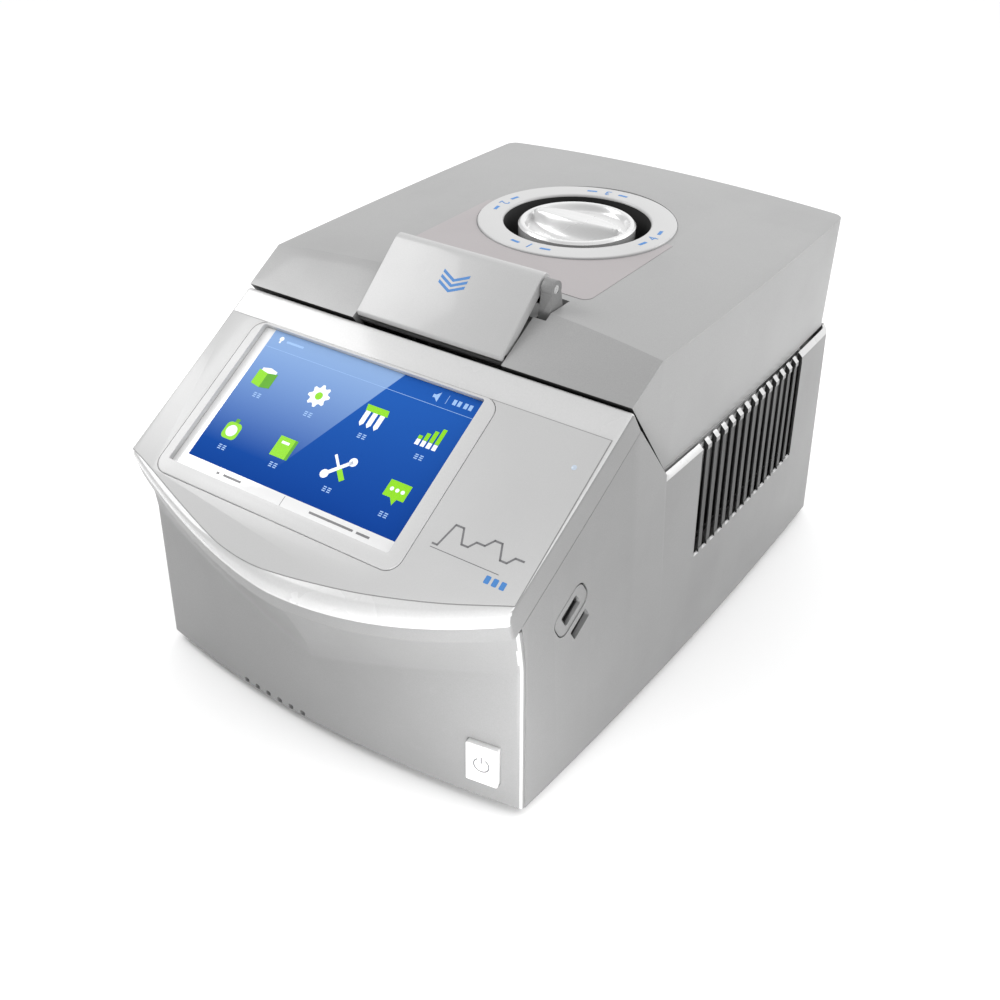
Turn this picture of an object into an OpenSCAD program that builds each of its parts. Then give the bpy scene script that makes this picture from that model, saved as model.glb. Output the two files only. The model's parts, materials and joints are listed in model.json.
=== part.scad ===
// Bench-top thermal cycler with a 96 well block, a hinged heated lid and a sloping touch screen.
// Millimetres. Z is up, X is the width, -Y is the front where the user stands.
// The origin is on the table, under the middle of the object.

/* [Body] */
// Width of the housing across its front corners, at the table
body_w = 270; // [268:0.5:272]
// How far each side bows outwards at mid length
side_bow = 4.8; // [3:0.2:6]
// Position of the back of the housing at the table
back_y0 = 211; // [210.5:0.25:211.5]
// Height of the rubber feet
foot_h = 6; // [5:0.5:7]
// Thickness of the moulded covers
wall = 3; // [2.5:0.25:3.5]

/* [Control panel] */
// Slope of the control panel, in degrees
panel_slope = 31.4; // [31:0.1:32]
// Height of the upper edge of the panel film
panel_z = 200.6; // [200:0.2:201]
// Width of the touch screen glass
screen_w = 160; // [158:0.5:161]
// Height of the touch screen glass
screen_h = 99; // [97:0.5:99.5]

/* [Lid] */
// Diameter of the clamping knob
knob_d = 74.8; // [70:0.2:76]
// Travel of the heated plate
plate_travel = 8; // [6:0.5:8]

/* [Sample block] */
// Columns of wells, across the width
well_cols = 12; // [6:1:12]
// Rows of wells, front to back
well_rows = 8; // [4:1:8]

/* [Grille] */
// Number of slots in each side grille
slot_n = 14; // [8:1:14]
// Width of one grille slot
slot_w = 6.2; // [5:0.2:6.6]

/* [Hidden] */

eps = 0.01;
half_w = body_w / 2;
corner_r = 7;
z_pan = foot_h;

// Draft of the moulded housing: the sides and the back lean inwards towards the top
side_lean = 0.0184;
back_lean = 0.0384;
bow_mid_y = 20.8;
bow_half_len = 190.2;
side_steps = 14;

// Heights of the ledge on which the lid closes
ledge = 4.2;
z_ledge = 149;
z_lid = z_ledge + ledge;
lid_gap = 0.6;
cheek_gap = 1.3;
lid_front_y = -30;

// Seam between the lid and the control panel
seam_y = -74.7;
seam_z = 212;

// Top of the lid: its front edge, its back edge and its crown
lid_top_y = -46.4;
lid_top_z = 228;
lid_back_z = 231;
crown_r = 1820;
crown_h = 5;
crown_tilt = atan((lid_back_z - lid_top_z) / 249);

// Control panel, measured in its own plane: S runs down the slope from the film's upper edge
film_y = -91.2;
panel_t = 17;
seam_s = -19.6;
lip_side_s = 104;
lip_bulge = 38;
film_side_s = 100;
film_bulge = 34;
lip_r = 7;
bezel_x0 = -111;
bezel_x1 = 64.4;
bezel_s1 = 109.6;
glass_x0 = -105;
glass_depth = 3.4;

// Front cover
front_corner_y = -169;
front_bulge = 13.4;
chin_tip_z = 58;
chin_corner_z = 102;

// Centre of the block, the knob and the lid's moving plate, and the standard spacing of the wells
blk_y = 84.3;
well_pitch = 9;
block_top = 152;
deck_top = 149.4;
sink_top = 122;

// Rear hinge and latch pivots
hinge_y = 189;
hinge_z = 172;
hinge_x = 88;
latch_y = -32.5;
latch_z = 243.5;
pawl_y = -12;
pawl_z = 176;
flap_half = 51;

// Height and radius of the knob well
ring_z = 235;
well_r = 46.8;
knob_r = knob_d / 2;

// Cooling fans
fan_x = 42;
fan_size = 80;
fan_z = 30;

// ---------- shared functions and modules ----------

// Half width of the housing at a position y and a height z
function side_x(y, z) =
    half_w + side_bow * (1 - pow((y - bow_mid_y) / bow_half_len, 2)) - side_lean * (z - foot_h);

// Position of the back wall at a height z
function back_y(z) = back_y0 - back_lean * (z - foot_h);

// Right side of the plan outline at height z, inset by d, from y0 to the back corner
function plan_right(z, d, y0) =
    let(yb = back_y(z) - d, r = max(corner_r - d, 1.5), y1 = yb - r, xc = side_x(y1, z) - d - r)
    concat(
        [for (k = [0 : side_steps]) let(y = y0 + (y1 - y0) * k / side_steps) [side_x(y, z) - d, y]],
        [for (a = [18 : 18 : 90]) [xc + r * cos(a), y1 + r * sin(a)]]
    );

function mirror_x(pts) = [for (k = [len(pts) - 1 : -1 : 0]) [-pts[k][0], pts[k][1]]];

function plan(z, d, y0) = let(right = plan_right(z, d, y0)) concat(right, mirror_x(right));

// Solid between two plan outlines, inset by d0 at the bottom and d1 at the top
module tapered(z0, z1, d0, d1, y0) {
    hull() {
        translate([0, 0, z0]) linear_extrude(eps) polygon(plan(z0, d0, y0));
        translate([0, 0, z1 - eps]) linear_extrude(eps) polygon(plan(z1, d1, y0));
    }
}

// Profile in the Y-Z plane, extruded along X from x0 to x1
module across(x0, x1, profile) {
    translate([x0, 0, 0]) rotate([90, 0, 90]) linear_extrude(x1 - x0) polygon(profile);
}

// Places its children in the control panel's plane: x across, y up the slope, z outwards
module on_panel() {
    translate([0, film_y, panel_z]) rotate([panel_slope, 0, 0]) children();
}

// Place of a point that lies s down the slope and w below the panel's surface
function panel_pt(s, w) = [
    film_y - s * cos(panel_slope) + w * sin(panel_slope),
    panel_z - s * sin(panel_slope) - w * cos(panel_slope)
];

// Position, down the slope, of the curved lip and of the film's curved edge
function lip_s(x) = lip_side_s + lip_bulge * (1 - pow(x / half_w, 2));
function film_s(x) = film_side_s + film_bulge * (1 - pow(x / half_w, 2));

module block_of(x0, x1, y0, y1, z0, z1) {
    translate([x0, y0, z0]) cube([x1 - x0, y1 - y0, z1 - z0]);
}

module rod_x(x0, x1, y, z, r) {
    translate([x0, y, z]) rotate([0, 90, 0]) cylinder(h = x1 - x0, r = r, $fn = 48);
}

// Rounded rectangle made of true arcs
module slab_2d(w, h, r) {
    square([w, h - 2 * r], center = true);
    square([w - 2 * r, h], center = true);
    for (sx = [-1, 1]) {
        for (sy = [-1, 1]) {
            translate([sx * (w / 2 - r), sy * (h / 2 - r)]) circle(r = r, $fn = 32);
        }
    }
}

// Closed tube swept along a helix about the Z axis
module coil(r, wire, height, turns, steps = 14) {
    sides = 6;
    n = turns * steps;
    pts = [
        for (k = [0 : n])
            for (j = [0 : sides - 1])
                let(a = 360 * k / steps, b = 360 * j / sides, rr = r + wire * cos(b))
                [rr * cos(a), rr * sin(a), wire + (height - 2 * wire) * k / n + wire * sin(b)]
    ];
    walls = [
        for (k = [0 : n - 1])
            for (j = [0 : sides - 1])
                let(p = k * sides + j, q = k * sides + (j + 1) % sides)
                [p, p + sides, q + sides, q]
    ];
    ends = [[for (j = [0 : sides - 1]) j], [for (j = [sides - 1 : -1 : 0]) n * sides + j]];
    polyhedron(points = pts, faces = concat(walls, ends), convexity = 10);
}

// ---------- bottom, feet and housing ----------

module base_pan() {
    vent_rows = 9;
    color("dimgray")
    difference() {
        union() {
            translate([0, 0, z_pan]) linear_extrude(2.5) polygon(plan(z_pan, wall + 0.4, -163));
            for (sx = [-1, 1]) {
                block_of(sx * (half_w - 4) - 1, sx * (half_w - 4) + 1, -150, 190, z_pan, z_pan + 12);
            }
        }
        for (sx = [-1, 1]) {
            for (k = [0 : vent_rows - 1]) {
                block_of(sx * fan_x - 30, sx * fan_x + 30, blk_y - 34 + 8 * k, blk_y - 30 + 8 * k, 0, 20);
            }
        }
        for (p = foot_places()) {
            translate([p[0], p[1], 0]) cylinder(h = 20, r = 3, $fn = 32);
        }
    }
}

function foot_places() = [for (sx = [-1, 1]) for (y = [-140, 185]) [sx * 108, y]];

module rubber_feet() {
    color("black")
    for (p = foot_places()) {
        translate([p[0], p[1], 0]) cylinder(h = foot_h, r1 = 10, r2 = 12, $fn = 48);
        translate([p[0], p[1], 0]) cylinder(h = foot_h + 4, r = 2.95, $fn = 32);
    }
}

// Front edge of the side walls, just behind the front cover
function corner_y(z) = front_y(half_w, min(z, chin_top(half_w)[1])) + wall + 0.3;

// Outline of the side walls in the Y-Z plane
function housing_profile() =
    let(lip_end = panel_pt(lip_side_s - 1, panel_t + 0.3), top = panel_pt(seam_s + 11.2, panel_t + 0.3))
    concat(
        [for (z = [foot_h, 102, 108, 114, 120, 125]) [corner_y(z), z]],
        [[corner_y(lip_end[1]), lip_end[1]], [cheek_y(top[1]) - cheek_gap, top[1]]],
        [[lid_front_y - cheek_gap, z_lid], [back_y0 + 1, z_lid], [back_y0 + 1, foot_h]]
    );

// Position of the slanted joint between the lid's cheeks and the housing
function cheek_y(z) = lid_front_y + (seam_y - lid_front_y) * (z - z_lid) / (seam_z - z_lid);

// Bevelled sill on which the lid closes, along both sides
module ledge_cut() {
    for (sx = [-1, 1]) {
        for (k = [0 : 7]) {
            y0 = lid_front_y - cheek_gap + k * 30;
            x0 = side_x(y0, z_ledge);
            x1 = side_x(y0 + 30, z_ledge);
            translate([sx * x0, y0, z_ledge])
                rotate([0, 0, sx * -atan((x1 - x0) / 30)])
                rotate([0, sx * -45, 0])
                translate([sx * 6, 15, 0])
                cube([12, 32, 8.4], center = true);
        }
    }
}

module grille_slots(inner, outer, z0, z1) {
    pitch = 139 / 13;
    for (sx = [-1, 1]) {
        for (k = [0 : slot_n - 1]) {
            block_of(min(sx * inner, sx * outer), max(sx * inner, sx * outer),
                13.2 + pitch * k - slot_w / 2, 13.2 + pitch * k + slot_w / 2, z0, z1);
        }
    }
}

// Thins the side walls behind the grilles, down to grille_skin
grille_skin = 1.4;
module grille_pocket() {
    intersection() {
        tapered(60, 147, grille_skin, grille_skin, 0);
        union() {
            for (sx = [-1, 1]) {
                block_of(sx * 135 - 15, sx * 135 + 15, 6, 160, 71, 146);
            }
        }
    }
}

// Middle of the upper one of the two USB sockets on the right side
usb_y = -126.6;
usb_z = 116.3;
usb_pitch = 16;

module on_usb(k) {
    translate([0, usb_y, usb_z])
        rotate([panel_slope, 0, 0])
        translate([0, 0, -usb_pitch * k])
        rotate([90, 0, 90])
        children();
}

module main_housing() {
    color("lightgray")
    difference() {
        intersection() {
            difference() {
                tapered(foot_h, 200, 0, 0, -200);
                difference() {
                    tapered(foot_h - 1, 201, wall, wall, -201);
                    translate([0, 0, z_lid - wall]) linear_extrude(10) difference() {
                        polygon(plan(z_lid, wall - 0.5, lid_front_y + 0.5));
                        polygon(plan(z_lid, 11, -60));
                        translate([-200, 160]) square([400, 100]);
                    }
                }
            }
            across(-200, 200, housing_profile());
        }
        ledge_cut();
        grille_pocket();
        grille_slots(131.8, 145, 73.5, 170);
        block_of(-108, -22, 190, 220, 24, 60);
        on_usb(0) translate([0, 0.7, 0]) linear_extrude(300) slab_2d(30.4, 18.2, 6.6);
        on_usb(1) linear_extrude(300) slab_2d(16, 8, 1);
        for (k = [0 : 9]) {
            block_of(24 + k * 8, 28 + k * 8, 195, 220, 60, 100);
        }
    }
}

// ---------- front cover ----------

// Position of the plain lower wall of the front cover
function wall_y(x) = front_corner_y - front_bulge * (1 - pow(x / half_w, 2));

// Top edge of the front cover, under the lip
function chin_top(x) = panel_pt(lip_s(x) + 2.5, panel_t + 0.8);
function crease_z(x) = chin_tip_z + (chin_corner_z - chin_tip_z) * abs(x) / half_w;

// Position of the front surface: plain below the crease, flaring forwards to the lip above it
function front_y(x, z) =
    let(c = crease_z(x), t = max(z - c, 0) / (chin_top(x)[1] - c))
    wall_y(x) + (chin_top(x)[0] - wall_y(x)) * pow(t, 1.25);

// Grid of points over the front surface, moved back by d
front_nx = 32;
front_nz = 14;
function front_pt(i, j, d) =
    let(s = -1 + 2 * i / front_nx,
        xa = s * (half_w - d),
        zt = chin_top(xa)[1],
        z = foot_h + (zt - foot_h) * j / front_nz,
        x = s * (side_x(front_corner_y, z) - 0.3 - d))
    [x, front_y(x, min(z, chin_top(x)[1])) + d, z];

module front_shell_solid() {
    row = front_nx + 1;
    layer = row * (front_nz + 1);
    pts = concat(
        [for (j = [0 : front_nz]) for (i = [0 : front_nx]) front_pt(i, j, 0)],
        [for (j = [0 : front_nz]) for (i = [0 : front_nx])
            let(p = front_pt(i, j, 0)) [p[0], p[1] + wall, p[2]]]
    );
    faces = concat(
        [for (j = [0 : front_nz - 1]) for (i = [0 : front_nx - 1])
            let(p = j * row + i) [p, p + row, p + row + 1, p + 1]],
        [for (j = [0 : front_nz - 1]) for (i = [0 : front_nx - 1])
            let(p = layer + j * row + i) [p, p + 1, p + row + 1, p + row]],
        [for (i = [0 : front_nx - 1]) [i, i + 1, layer + i + 1, layer + i]],
        [for (i = [0 : front_nx - 1]) let(p = front_nz * row + i) [p, layer + p, layer + p + 1, p + 1]],
        [for (j = [0 : front_nz - 1]) let(p = j * row) [p, layer + p, layer + p + row, p + row]],
        [for (j = [0 : front_nz - 1]) let(p = j * row + front_nx) [p, p + row, layer + p + row, layer + p]]
    );
    polyhedron(points = pts, faces = faces, convexity = 6);
}

button_x = 112.5;
button_z = 33.3;
button_w = 19;
button_h = 27;
button_turn = atan(2 * front_bulge * button_x / (half_w * half_w));

module at_button() {
    translate([button_x, wall_y(button_x), button_z]) rotate([90, 0, button_turn]) children();
}

module front_cover() {
    color("silver")
    difference() {
        front_shell_solid();
        at_button() translate([0, 0, -20]) linear_extrude(40)
            square([button_w + 0.8, button_h + 0.8], center = true);
        for (k = [0 : 5]) {
            block_of(-61.7 + 9.5 * k, -57.7 + 9.5 * k, -200, -160, foot_h + 1, foot_h + 4.2);
        }
    }
}

module button_guide() {
    color("dimgray")
    at_button() difference() {
        translate([0, 0, -12]) linear_extrude(8.6) square([button_w + 5, button_h + 5], center = true);
        translate([0, 0, -10]) linear_extrude(20) square([button_w + 0.8, button_h + 0.8], center = true);
        translate([0, 0, -20]) cylinder(h = 30, r = 2.55, $fn = 32);
    }
}

module button_spring() {
    color("silver")
    at_button() translate([0, 0, -9.9]) coil(4.4, 0.4, 4.6, 4);
}

module power_button() {
    color("whitesmoke")
    at_button() union() {
        translate([0, 0, -5.2]) linear_extrude(8.4) square([button_w, button_h], center = true);
        translate([0, 0, -13]) cylinder(h = 8, r = 2.5, $fn = 32);
        translate([0, 0, 3]) linear_extrude(0.6) difference() {
            circle(r = 5, $fn = 40);
            circle(r = 4, $fn = 40);
            translate([-1.6, 0]) square([3.2, 8]);
        }
        translate([-0.5, 1, 3]) cube([1, 5, 0.6]);
    }
}

// ---------- control panel ----------

// Outline of the panel in its own plane at a depth w, inset by d
function panel_outline(w, d) =
    let(bite = w < lip_r ? lip_r - sqrt(lip_r * lip_r - pow(lip_r - w, 2)) : 0,
        rear = -seam_s - d - min(bite, 3),
        xs = half_w + 1 - d)
    concat(
        [[xs, rear], [-xs, rear]],
        [for (k = [0 : 24]) let(x = -xs + 2 * xs * k / 24)
            [x, -(lip_s(min(abs(x), half_w)) + 0.28 * w - bite - d)]]
    );

module panel_solid() {
    hull() {
        for (w = [0, 0.5, 1.5, 3, 5, lip_r, panel_t]) {
            translate([0, 0, -w - (w == 0 ? eps : 0)]) linear_extrude(eps) polygon(panel_outline(w, 0));
        }
    }
}

module panel_hollow() {
    hull() {
        translate([0, 0, -wall - eps]) linear_extrude(eps) polygon(panel_outline(lip_r, wall + 2));
        translate([0, 0, -panel_t - 1]) linear_extrude(eps) polygon(panel_outline(panel_t, wall));
    }
}

bezel_mid = (bezel_x0 + bezel_x1) / 2;
bezel_w = bezel_x1 - bezel_x0;

module control_panel() {
    color("gainsboro")
    intersection() {
        on_panel() difference() {
            panel_solid();
            panel_hollow();
            translate([bezel_mid, -bezel_s1 / 2, -10]) linear_extrude(20)
                slab_2d(bezel_w + 0.4, bezel_s1 + 0.4, 9);
        }
        tapered(100, 220, 0, 0, -240);
    }
}

module panel_film() {
    color("silver")
    on_panel() linear_extrude(0.4) difference() {
        polygon(concat(
            [[132, 0], [-132, 0]],
            [for (k = [0 : 24]) let(x = -132 + 11 * k) [x, -(film_s(x) - 1)]]
        ));
        translate([bezel_mid, -bezel_s1 / 2]) slab_2d(bezel_w + 0.8, bezel_s1 + 0.8, 9.2);
    }
}

// Places its children at the middle of the glass, z above the panel's surface
module at_glass(z) {
    translate([glass_x0 + screen_w / 2, -1.5 - screen_h / 2, z]) children();
}

module display_bezel() {
    color("whitesmoke")
    on_panel() difference() {
        union() {
            translate([bezel_mid, -bezel_s1 / 2, -glass_depth - 1]) linear_extrude(glass_depth + 1.9)
                slab_2d(bezel_w, bezel_s1, 9);
            translate([bezel_mid, -bezel_s1 / 2 + 1, -glass_depth - 2]) linear_extrude(1.2)
                square([bezel_w + 6, bezel_s1 - 4], center = true);
        }
        at_glass(-glass_depth) linear_extrude(10) slab_2d(screen_w, screen_h, 1.5);
        at_glass(-10) linear_extrude(20) slab_2d(screen_w - 6, screen_h - 4, 1);
    }
}

module touch_glass() {
    color("royalblue")
    on_panel() at_glass(-glass_depth) linear_extrude(1.2) slab_2d(screen_w - 0.4, screen_h - 0.4, 1.4);
}

module lcd_module() {
    color("slategray")
    on_panel() at_glass(-glass_depth - 9.5) linear_extrude(7.3)
        square([screen_w + 2, screen_h - 7], center = true);
}

module main_board() {
    color("darkgreen")
    on_panel() {
        translate([-90, -100, -24]) cube([150, 80, 1.6]);
        translate([-60, -80, -22.4]) cube([26, 26, 2]);
        translate([-10, -70, -22.4]) cube([14, 20, 2]);
        translate([20, -90, -22.4]) cube([30, 8, 5]);
        for (k = [0 : 3]) {
            translate([-80 + 12 * k, -40, -22.4]) cylinder(h = 6, r = 3, $fn = 24);
        }
    }
}

// Slanted inner wall behind the control panel, parallel to the lid's front cheek
module console_wall() {
    dy = seam_y - lid_front_y;
    dz = seam_z - z_lid;
    len = sqrt(dy * dy + dz * dz);
    ny = -dz / len;
    nz = dy / len;
    z1 = 194;
    color("silver")
    difference() {
        across(-127, 127, [
            [cheek_y(z_lid) + 1.2 * ny, z_lid + 1.2 * nz - 6.6],
            [cheek_y(z1) + 1.2 * ny, z1],
            [cheek_y(z1) + 3.8 * ny, z1],
            [cheek_y(z_lid) + 3.8 * ny, z_lid + 3.8 * nz - 6.6]
        ]);
        block_of(-200, 200, -200, 0, 100, deck_top - 2.6);
    }
}

module grille_baffles() {
    color("darkslategray")
    for (sx = [-1, 1]) {
        difference() {
            block_of(sx * 126 - 2, sx * 126 + 2, 6, 160, 70, 145);
            for (k = [0 : slot_n - 1]) {
                block_of(sx * 126 - 5, sx * 126 + 5, 11 + 10.69 * k, 15.4 + 10.69 * k, 74, 141);
            }
        }
    }
}

module usb_bezel() {
    color("whitesmoke")
    intersection() {
        on_usb(0) difference() {
            translate([0, 0, 129]) linear_extrude(20) slab_2d(28.6, 16.6, 5.8);
            translate([0, 0, 120]) linear_extrude(40) slab_2d(15.6, 8.6, 1.2);
        }
        tapered(foot_h, 200, 0.5, 0.5, -200);
    }
}

module usb_socket() {
    difference() {
        translate([0, 0, 116]) linear_extrude(17) square([14.4, 7.2], center = true);
        translate([0, 0, 118]) linear_extrude(30) square([12.6, 5.4], center = true);
    }
    translate([-5.6, -1.8, 117]) cube([11.2, 1.8, 15]);
}

module usb_ports() {
    color("slategray")
    for (k = [0, 1]) {
        on_usb(k) usb_socket();
    }
}

// ---------- block, cooling and electronics ----------

module block_deck() {
    color("gainsboro")
    difference() {
        translate([0, 0, deck_top - 2.6]) linear_extrude(2.6) intersection() {
            polygon(plan(z_ledge, wall + 0.5, -60));
            translate([-200, lid_front_y + 2.8]) square([400, 193]);
        }
        block_of(-64, 64, blk_y - 45, blk_y + 45, 100, 200);
        for (sx = [-1, 1]) {
            block_of(sx * 34 - 8, sx * 34 + 8, -25, 6, 100, 200);
        }
    }
}

module block_gasket() {
    color("darkorange")
    difference() {
        block_of(-63.8, 63.8, blk_y - 44.8, blk_y + 44.8, 146.6, 150.2);
        block_of(-60.2, 60.2, blk_y - 41.2, blk_y + 41.2, 140, 160);
    }
}

// Places a copy of its children at every well, at height z
module at_wells(z) {
    for (i = [0 : well_cols - 1]) {
        for (j = [0 : well_rows - 1]) {
            x = (i - (well_cols - 1) / 2) * well_pitch;
            y = blk_y + (j - (well_rows - 1) / 2) * well_pitch;
            translate([x, y, z]) children();
        }
    }
}

module sample_block() {
    color("silver")
    difference() {
        block_of(-60, 60, blk_y - 41, blk_y + 41, 126, block_top);
        at_wells(block_top - 15) cylinder(h = 15 + eps, r1 = 1.4, r2 = 3.05, $fn = 24);
    }
}

module peltier_modules() {
    color("white")
    for (i = [-1 : 1]) {
        for (sy = [-1, 1]) {
            y = blk_y + sy * 20.2;
            block_of(i * 39.6 - 19, i * 39.6 + 19, y - 19, y + 19, sink_top, 126);
        }
    }
}

module block_frame() {
    color("dimgray")
    difference() {
        block_of(-68, 68, blk_y - 49, blk_y + 49, sink_top, 146.6);
        block_of(-60.6, 60.6, blk_y - 41.6, blk_y + 41.6, 100, 160);
    }
}

module heat_sink() {
    fins = 15;
    color("silver")
    union() {
        block_of(-80, 80, blk_y - 62, blk_y + 62, 112, sink_top);
        for (k = [0 : fins - 1]) {
            block_of(-78, 78, blk_y - 42 + 6 * k - 0.9, blk_y - 42 + 6 * k + 0.9, 64, 113);
        }
    }
}

module sink_posts() {
    color("gray")
    for (sx = [-1, 1]) {
        for (sy = [-1, 1]) {
            translate([sx * 74, blk_y + sy * 56, z_pan + 2.5])
                cylinder(h = 109.5 - z_pan, r = 4, $fn = 32);
        }
    }
}

module fan_shroud() {
    color("darkgray")
    difference() {
        block_of(-84, 84, blk_y - 46, blk_y + 46, fan_z + 25, 63.5);
        block_of(-80, 80, blk_y - 43, blk_y + 43, fan_z + 27, 70);
        for (sx = [-1, 1]) {
            translate([sx * fan_x, blk_y, 40]) cylinder(h = 30, r = 38, $fn = 64);
        }
    }
}

module fan_frames() {
    color("dimgray")
    for (sx = [-1, 1]) {
        translate([sx * fan_x, blk_y, fan_z]) {
            difference() {
                linear_extrude(25) slab_2d(fan_size, fan_size, 4);
                translate([0, 0, -1]) cylinder(h = 30, r = 38.5, $fn = 64);
            }
            cylinder(h = 3, r = 17, $fn = 48);
            cylinder(h = 23, r = 1.95, $fn = 32);
            for (a = [45 : 90 : 315]) {
                rotate([0, 0, a]) block_of(16, 39.5, -2, 2, 0, 3);
            }
        }
    }
    color("dimgray")
    for (sx = [-1, 1]) {
        for (sy = [-1, 1]) {
            block_of(sx * 60 - 5, sx * 60 + 5, blk_y + sy * 36 - 3, blk_y + sy * 36 + 3, z_pan + 2.5, fan_z);
        }
    }
}

module rotor(x) {
    translate([x, blk_y, fan_z + 4]) difference() {
        union() {
            cylinder(h = 20, r = 17, $fn = 48);
            for (a = [0 : 360 / 7 : 359]) {
                rotate([0, 0, a]) intersection() {
                    translate([26, 0, 10]) rotate([38, 0, 0]) cube([22, 24, 1.6], center = true);
                    difference() {
                        cylinder(h = 20, r = 36.8, $fn = 64);
                        translate([0, 0, -1]) cylinder(h = 30, r = 15.5, $fn = 48);
                    }
                }
            }
        }
        translate([0, 0, -1]) cylinder(h = 30, r = 2, $fn = 32);
    }
}

module fan_rotor_left() {
    color("black") rotor(-fan_x);
}

module fan_rotor_right() {
    color("black") rotor(fan_x);
}

module power_supply() {
    color("lightsteelblue")
    difference() {
        block_of(-122, -24, -150, 8, z_pan + 6, 56);
        block_of(-120.4, -25.6, -148.4, 6.4, z_pan + 7.6, 54.4);
        for (k = [0 : 11]) {
            block_of(-112 + 7 * k, -108 + 7 * k, -120, -60, 50, 60);
        }
    }
    color("goldenrod")
    for (sx = [-96, -36]) {
        for (y = [-140, -2]) {
            translate([sx, y, z_pan + 2.5]) cylinder(h = 3.5, r = 4, $fn = 24);
        }
    }
}

module driver_board() {
    color("green")
    block_of(0, 112, -140, 24, z_pan + 10, z_pan + 11.6);
    color("goldenrod")
    for (x = [6, 106]) {
        for (y = [-134, 18]) {
            translate([x, y, z_pan + 2.5]) cylinder(h = 7.5, r = 3, $fn = 24);
        }
    }
}

module board_parts() {
    z0 = z_pan + 11.6;
    color("darkslateblue") {
        for (k = [0 : 3]) {
            translate([14 + 20 * k, -40, z0]) cylinder(h = 22, r = 7, $fn = 32);
        }
        for (k = [0 : 2]) {
            translate([20 + 32 * k, -82, z0]) difference() {
                cylinder(h = 12, r = 12, $fn = 40);
                translate([0, 0, -1]) cylinder(h = 20, r = 5, $fn = 40);
            }
        }
        for (k = [0 : 7]) {
            block_of(12 + 11 * k, 14 + 11 * k, -20, 14, z0, z0 + 26);
        }
        block_of(10, 92, -20, 14, z0 + 26, z0 + 29);
        block_of(14, 40, -130, -112, z0, z0 + 10);
        block_of(52, 90, -128, -114, z0, z0 + 8);
    }
}

// ---------- rear connections ----------

inlet_x = -82;
inlet_z = 44;
switch_x = -42;
switch_z = 42;

module rear_plate() {
    color("darkgray")
    difference() {
        block_of(-112, -18, 201, 203, 20, 64);
        block_of(inlet_x - 14, inlet_x + 14, 190, 210, inlet_z - 16, inlet_z + 11);
        block_of(switch_x - 9, switch_x + 9, 190, 210, switch_z - 13, switch_z + 13);
    }
}

module power_inlet() {
    color("black")
    translate([inlet_x, 0, inlet_z]) {
        difference() {
            union() {
                block_of(-18, 18, 203, 205, -17.5, 12.5);
                block_of(-13.8, 13.8, 180, 203.5, -15.8, 10.8);
            }
            difference() {
                block_of(-12, 12, 187, 210, -8, 8.6);
                for (sx = [-1, 1]) {
                    translate([sx * 12, 186, 8.6]) rotate([-90, 0, 0]) cylinder(h = 30, r = 5, $fn = 4);
                }
            }
            block_of(-11, 11, 188, 210, -14.4, -9.6);
        }
        for (p = [[-7, 1], [0, 3], [7, 1]]) {
            block_of(p[0] - 1, p[0] + 1, 186.5, 201, p[1] - 2.2, p[1] + 2.2);
        }
    }
}

module fuse_drawer() {
    color("dimgray")
    translate([inlet_x, 0, inlet_z]) {
        block_of(-10.8, 10.8, 189, 205.4, -14.2, -9.8);
        block_of(-4, 4, 205.4, 206.2, -13, -11);
    }
}

module switch_housing() {
    color("black")
    translate([switch_x, 0, switch_z]) difference() {
        union() {
            block_of(-11.5, 11.5, 203, 205, -15.5, 15.5);
            block_of(-8.8, 8.8, 182, 203.5, -12.8, 12.8);
        }
        block_of(-6.6, 6.6, 192, 210, -11, 11);
        rod_x(-8, 8, 199, 0, 1.55);
    }
}

module rocker() {
    color("firebrick")
    translate([switch_x, 0, switch_z]) union() {
        across(-6.3, 6.3, [
            [196.5, -4], [200.5, -10], [204.6, -9.6], [203.4, 0], [204.6, 9.6], [200.5, 10], [196.5, 4]
        ]);
        rod_x(-7.8, 7.8, 199, 0, 1.5);
    }
}

// ---------- hinge ----------

module hinge_shelf() {
    color("gray")
    difference() {
        translate([0, 0, 141]) linear_extrude(3) intersection() {
            polygon(plan(z_ledge, wall + 0.6, -60));
            translate([-200, 166]) square([400, 60]);
        }
        for (sx = [-1, 1]) {
            block_of(sx * 40 - 12, sx * 40 + 12, 174, 190, 130, 150);
        }
    }
}

module hinge_brackets() {
    color("dimgray")
    for (sx = [-1, 1]) {
        difference() {
            union() {
                block_of(sx * hinge_x - 18, sx * hinge_x + 18, 176, 197, 144, 147);
                for (e = [-1, 1]) {
                    across(sx * hinge_x + e * 16 - 2, sx * hinge_x + e * 16 + 2, [
                        [177, 146], [194, 146], [196, hinge_z], [182, hinge_z]
                    ]);
                    rod_x(sx * hinge_x + e * 16 - 2, sx * hinge_x + e * 16 + 2, hinge_y, hinge_z, 7);
                }
            }
            rod_x(sx * hinge_x - 30, sx * hinge_x + 30, hinge_y, hinge_z, 4);
        }
    }
}

module hinge_pins() {
    color("silver")
    for (sx = [-1, 1]) {
        rod_x(sx * hinge_x - 18, sx * hinge_x + 18, hinge_y, hinge_z, 4);
        rod_x(sx * (hinge_x + 18.75) - 0.75, sx * (hinge_x + 18.75) + 0.75, hinge_y, hinge_z, 5.5);
    }
}

module hinge_springs() {
    color("gray")
    for (sx = [-1, 1]) {
        translate([sx * (hinge_x - 9.5) - 4, hinge_y, hinge_z]) rotate([0, 90, 0]) coil(5.4, 0.7, 8, 4);
    }
}

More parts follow.
